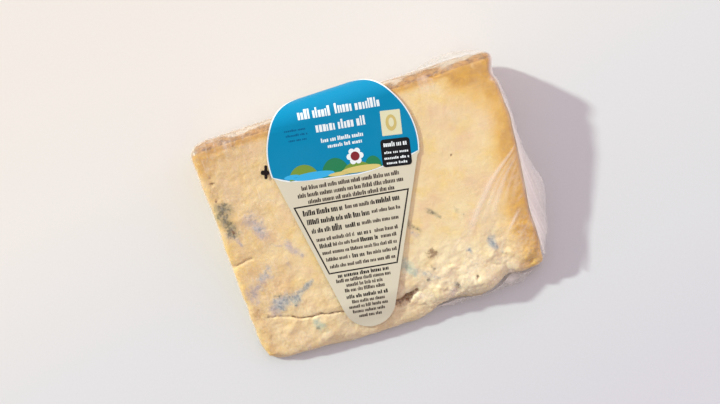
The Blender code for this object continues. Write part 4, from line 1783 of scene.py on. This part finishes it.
# A dark printed mark beside the dome, on the wrap: a short upright with a crosspiece
fleck = {
    "place": (-41.6, 28.0),
    "turn": -18.3,
    "tall": 5.8,
    "wide": 3.5,
    "thick": 1.3,
    "corner": 0.6,
    "armThick": 1.9,
    "armCorner": 0.8,
    "armShift": (-0.45, -0.1),
}


def makeFleck():
    turn = fleck["turn"]
    upright = roundedBox(fleck["thick"], fleck["tall"], fleck["corner"])
    upright = turned(upright, (0, 0), turn)
    crosspiece = roundedBox(fleck["wide"], fleck["armThick"], fleck["armCorner"])
    crosspiece = turned(crosspiece, fleck["armShift"], turn)
    fleckX, fleckY = fleck["place"]
    shapes = []
    for layer, box in enumerate((upright, crosspiece)):
        piece = addOutline(box, 0.0, sticker["ink"] * (1 + layer))
        places = placesOf(piece)
        for index, (a, b, height) in enumerate(places):
            places[index] = onWrappedFace(fleckX + a, fleckY + b, sticker["lift"] + height)
        setPlaces(piece, places)
        shapes.append(piece)
    mark = joinPieces(shapes, "wrap_mark")
    finishPrint(mark, paperMaterial("mark_black", paperLook["markInk"], 0.0))


makeFleck()
print("print made")

# Table, light and camera: millimetres and degrees
studio = {
    "cameraHeight": 600.0,
    "cameraOver": (-8.0, 3.6),
    "cameraTurn": -18.3,
    "focalPixels": 1366.0,
    "picturePixels": 720.0,
    "sensorWidth": 36.0,
    "nearestSeen": 10.0,
    "sunPlace": (-600.0, 500.0, 500.0),
    "sunHeading": -39.8,
    "sunHeight": 29.2,
    "sunStrength": 3.1,
    "sunAngle": 3.5,
    "sunColour": (0.86, 1.0, 0.9),
    "fillColour": (1.05, 0.94, 1.01),
    "fillStrength": 0.77,
    # the fill is brighter towards the far right: direction, how much brighter
    "fillFrom": (0.55, 0.83, 0.0),
    "fillSlope": 0.75,
    # painted light: table colour falls off along the line from the warm, brighter far side towards
    # the lamp to the cool, darker near side: place, colour
    "paintedTableFalloff": (
        (-125.0, (0.735, 0.69, 0.635)),
        (-65.0, (0.72, 0.685, 0.65)),
        (0.0, (0.645, 0.64, 0.64)),
        (70.0, (0.612, 0.612, 0.622)),
        (134.0, (0.578, 0.562, 0.6)),
    ),
    "tableSlant": (0.2045, -0.973),
    "tableSize": 6000.0,
    "tableDrop": 0.05,
}


def tableMaterial():
    material, tree = newMaterial("pale_table")
    place = objectPlace(tree)
    slantX, slantY = studio["tableSlant"]
    slant = dotProduct(tree, place, (slantX / mm, slantY / mm, 0))
    # painted light falloff across the table
    shades = studio["paintedTableFalloff"]
    first, last = shades[0][0], shades[-1][0]
    along = addNode(
        tree, "ShaderNodeMapRange", {"Value": slant, "From Min": first, "From Max": last}
    ).outputs["Result"]
    blend = addNode(tree, "ShaderNodeValToRGB", {"Fac": along})
    stops = blend.color_ramp.elements
    while len(stops) < len(shades):
        stops.new(0.5)
    for stop, (spot, colour) in zip(stops, shades):
        stop.position = (spot - first) / (last - first)
        stop.color = (*colour, 1)
    grain = noiseNode(tree, place, 900.0, detail=2.0)
    colour = mixColour(
        tree, easedRange(tree, grain, 0.2, 0.8, 0.0, 0.03), blend.outputs["Color"], (1, 1, 1, 1)
    )
    finishSurface(tree, {"Base Color": colour, "Roughness": 0.8, "Specular IOR Level": 0.2})
    return material


def makeTable():
    bpy.ops.object.select_all(action="DESELECT")
    bpy.ops.mesh.primitive_plane_add(
        size=studio["tableSize"] * mm, location=(0, 0, -studio["tableDrop"] * mm)
    )
    table = bpy.context.view_layer.objects.active
    table.name = "table_top"
    table.data.materials.append(tableMaterial())


def makeLight():
    heading = math.radians(studio["sunHeading"])
    height = math.radians(studio["sunHeight"])
    level = math.cos(height)
    travel = Vector((math.cos(heading) * level, math.sin(heading) * level, -math.sin(height)))
    bpy.ops.object.light_add(type="SUN", location=[place * mm for place in studio["sunPlace"]])
    sun = bpy.context.view_layer.objects.active
    sun.rotation_euler = travel.to_track_quat("-Z", "Y").to_euler()
    sun.data.energy = studio["sunStrength"]
    sun.data.angle = math.radians(studio["sunAngle"])
    sun.data.color = studio["sunColour"]
    world = bpy.data.worlds.new("studio_world")
    world.use_nodes = True
    tree = world.node_tree
    backdrop = tree.nodes["Background"]
    backdrop.inputs["Color"].default_value = (*studio["fillColour"], 1)
    towards = addNode(tree, "ShaderNodeTexCoord").outputs["Generated"]
    slope = dotProduct(tree, towards, studio["fillFrom"])
    brighter = plus(tree, times(tree, slope, studio["fillSlope"]), 1.0)
    strength = times(tree, brighter, studio["fillStrength"])
    tree.links.new(strength, backdrop.inputs["Strength"])
    bpy.context.scene.world = world
    bpy.context.scene.view_settings.view_transform = "Standard"


def makeCamera():
    overX, overY = studio["cameraOver"]
    bpy.ops.object.camera_add(
        location=(overX * mm, overY * mm, studio["cameraHeight"] * mm),
        rotation=(0, 0, math.radians(studio["cameraTurn"])),
    )
    camera = bpy.context.view_layer.objects.active
    camera.data.sensor_width = studio["sensorWidth"]
    camera.data.lens = studio["sensorWidth"] * studio["focalPixels"] / studio["picturePixels"]
    camera.data.clip_start = studio["nearestSeen"] * mm
    bpy.context.scene.camera = camera


makeTable()
makeLight()
makeCamera()
print("studio made")
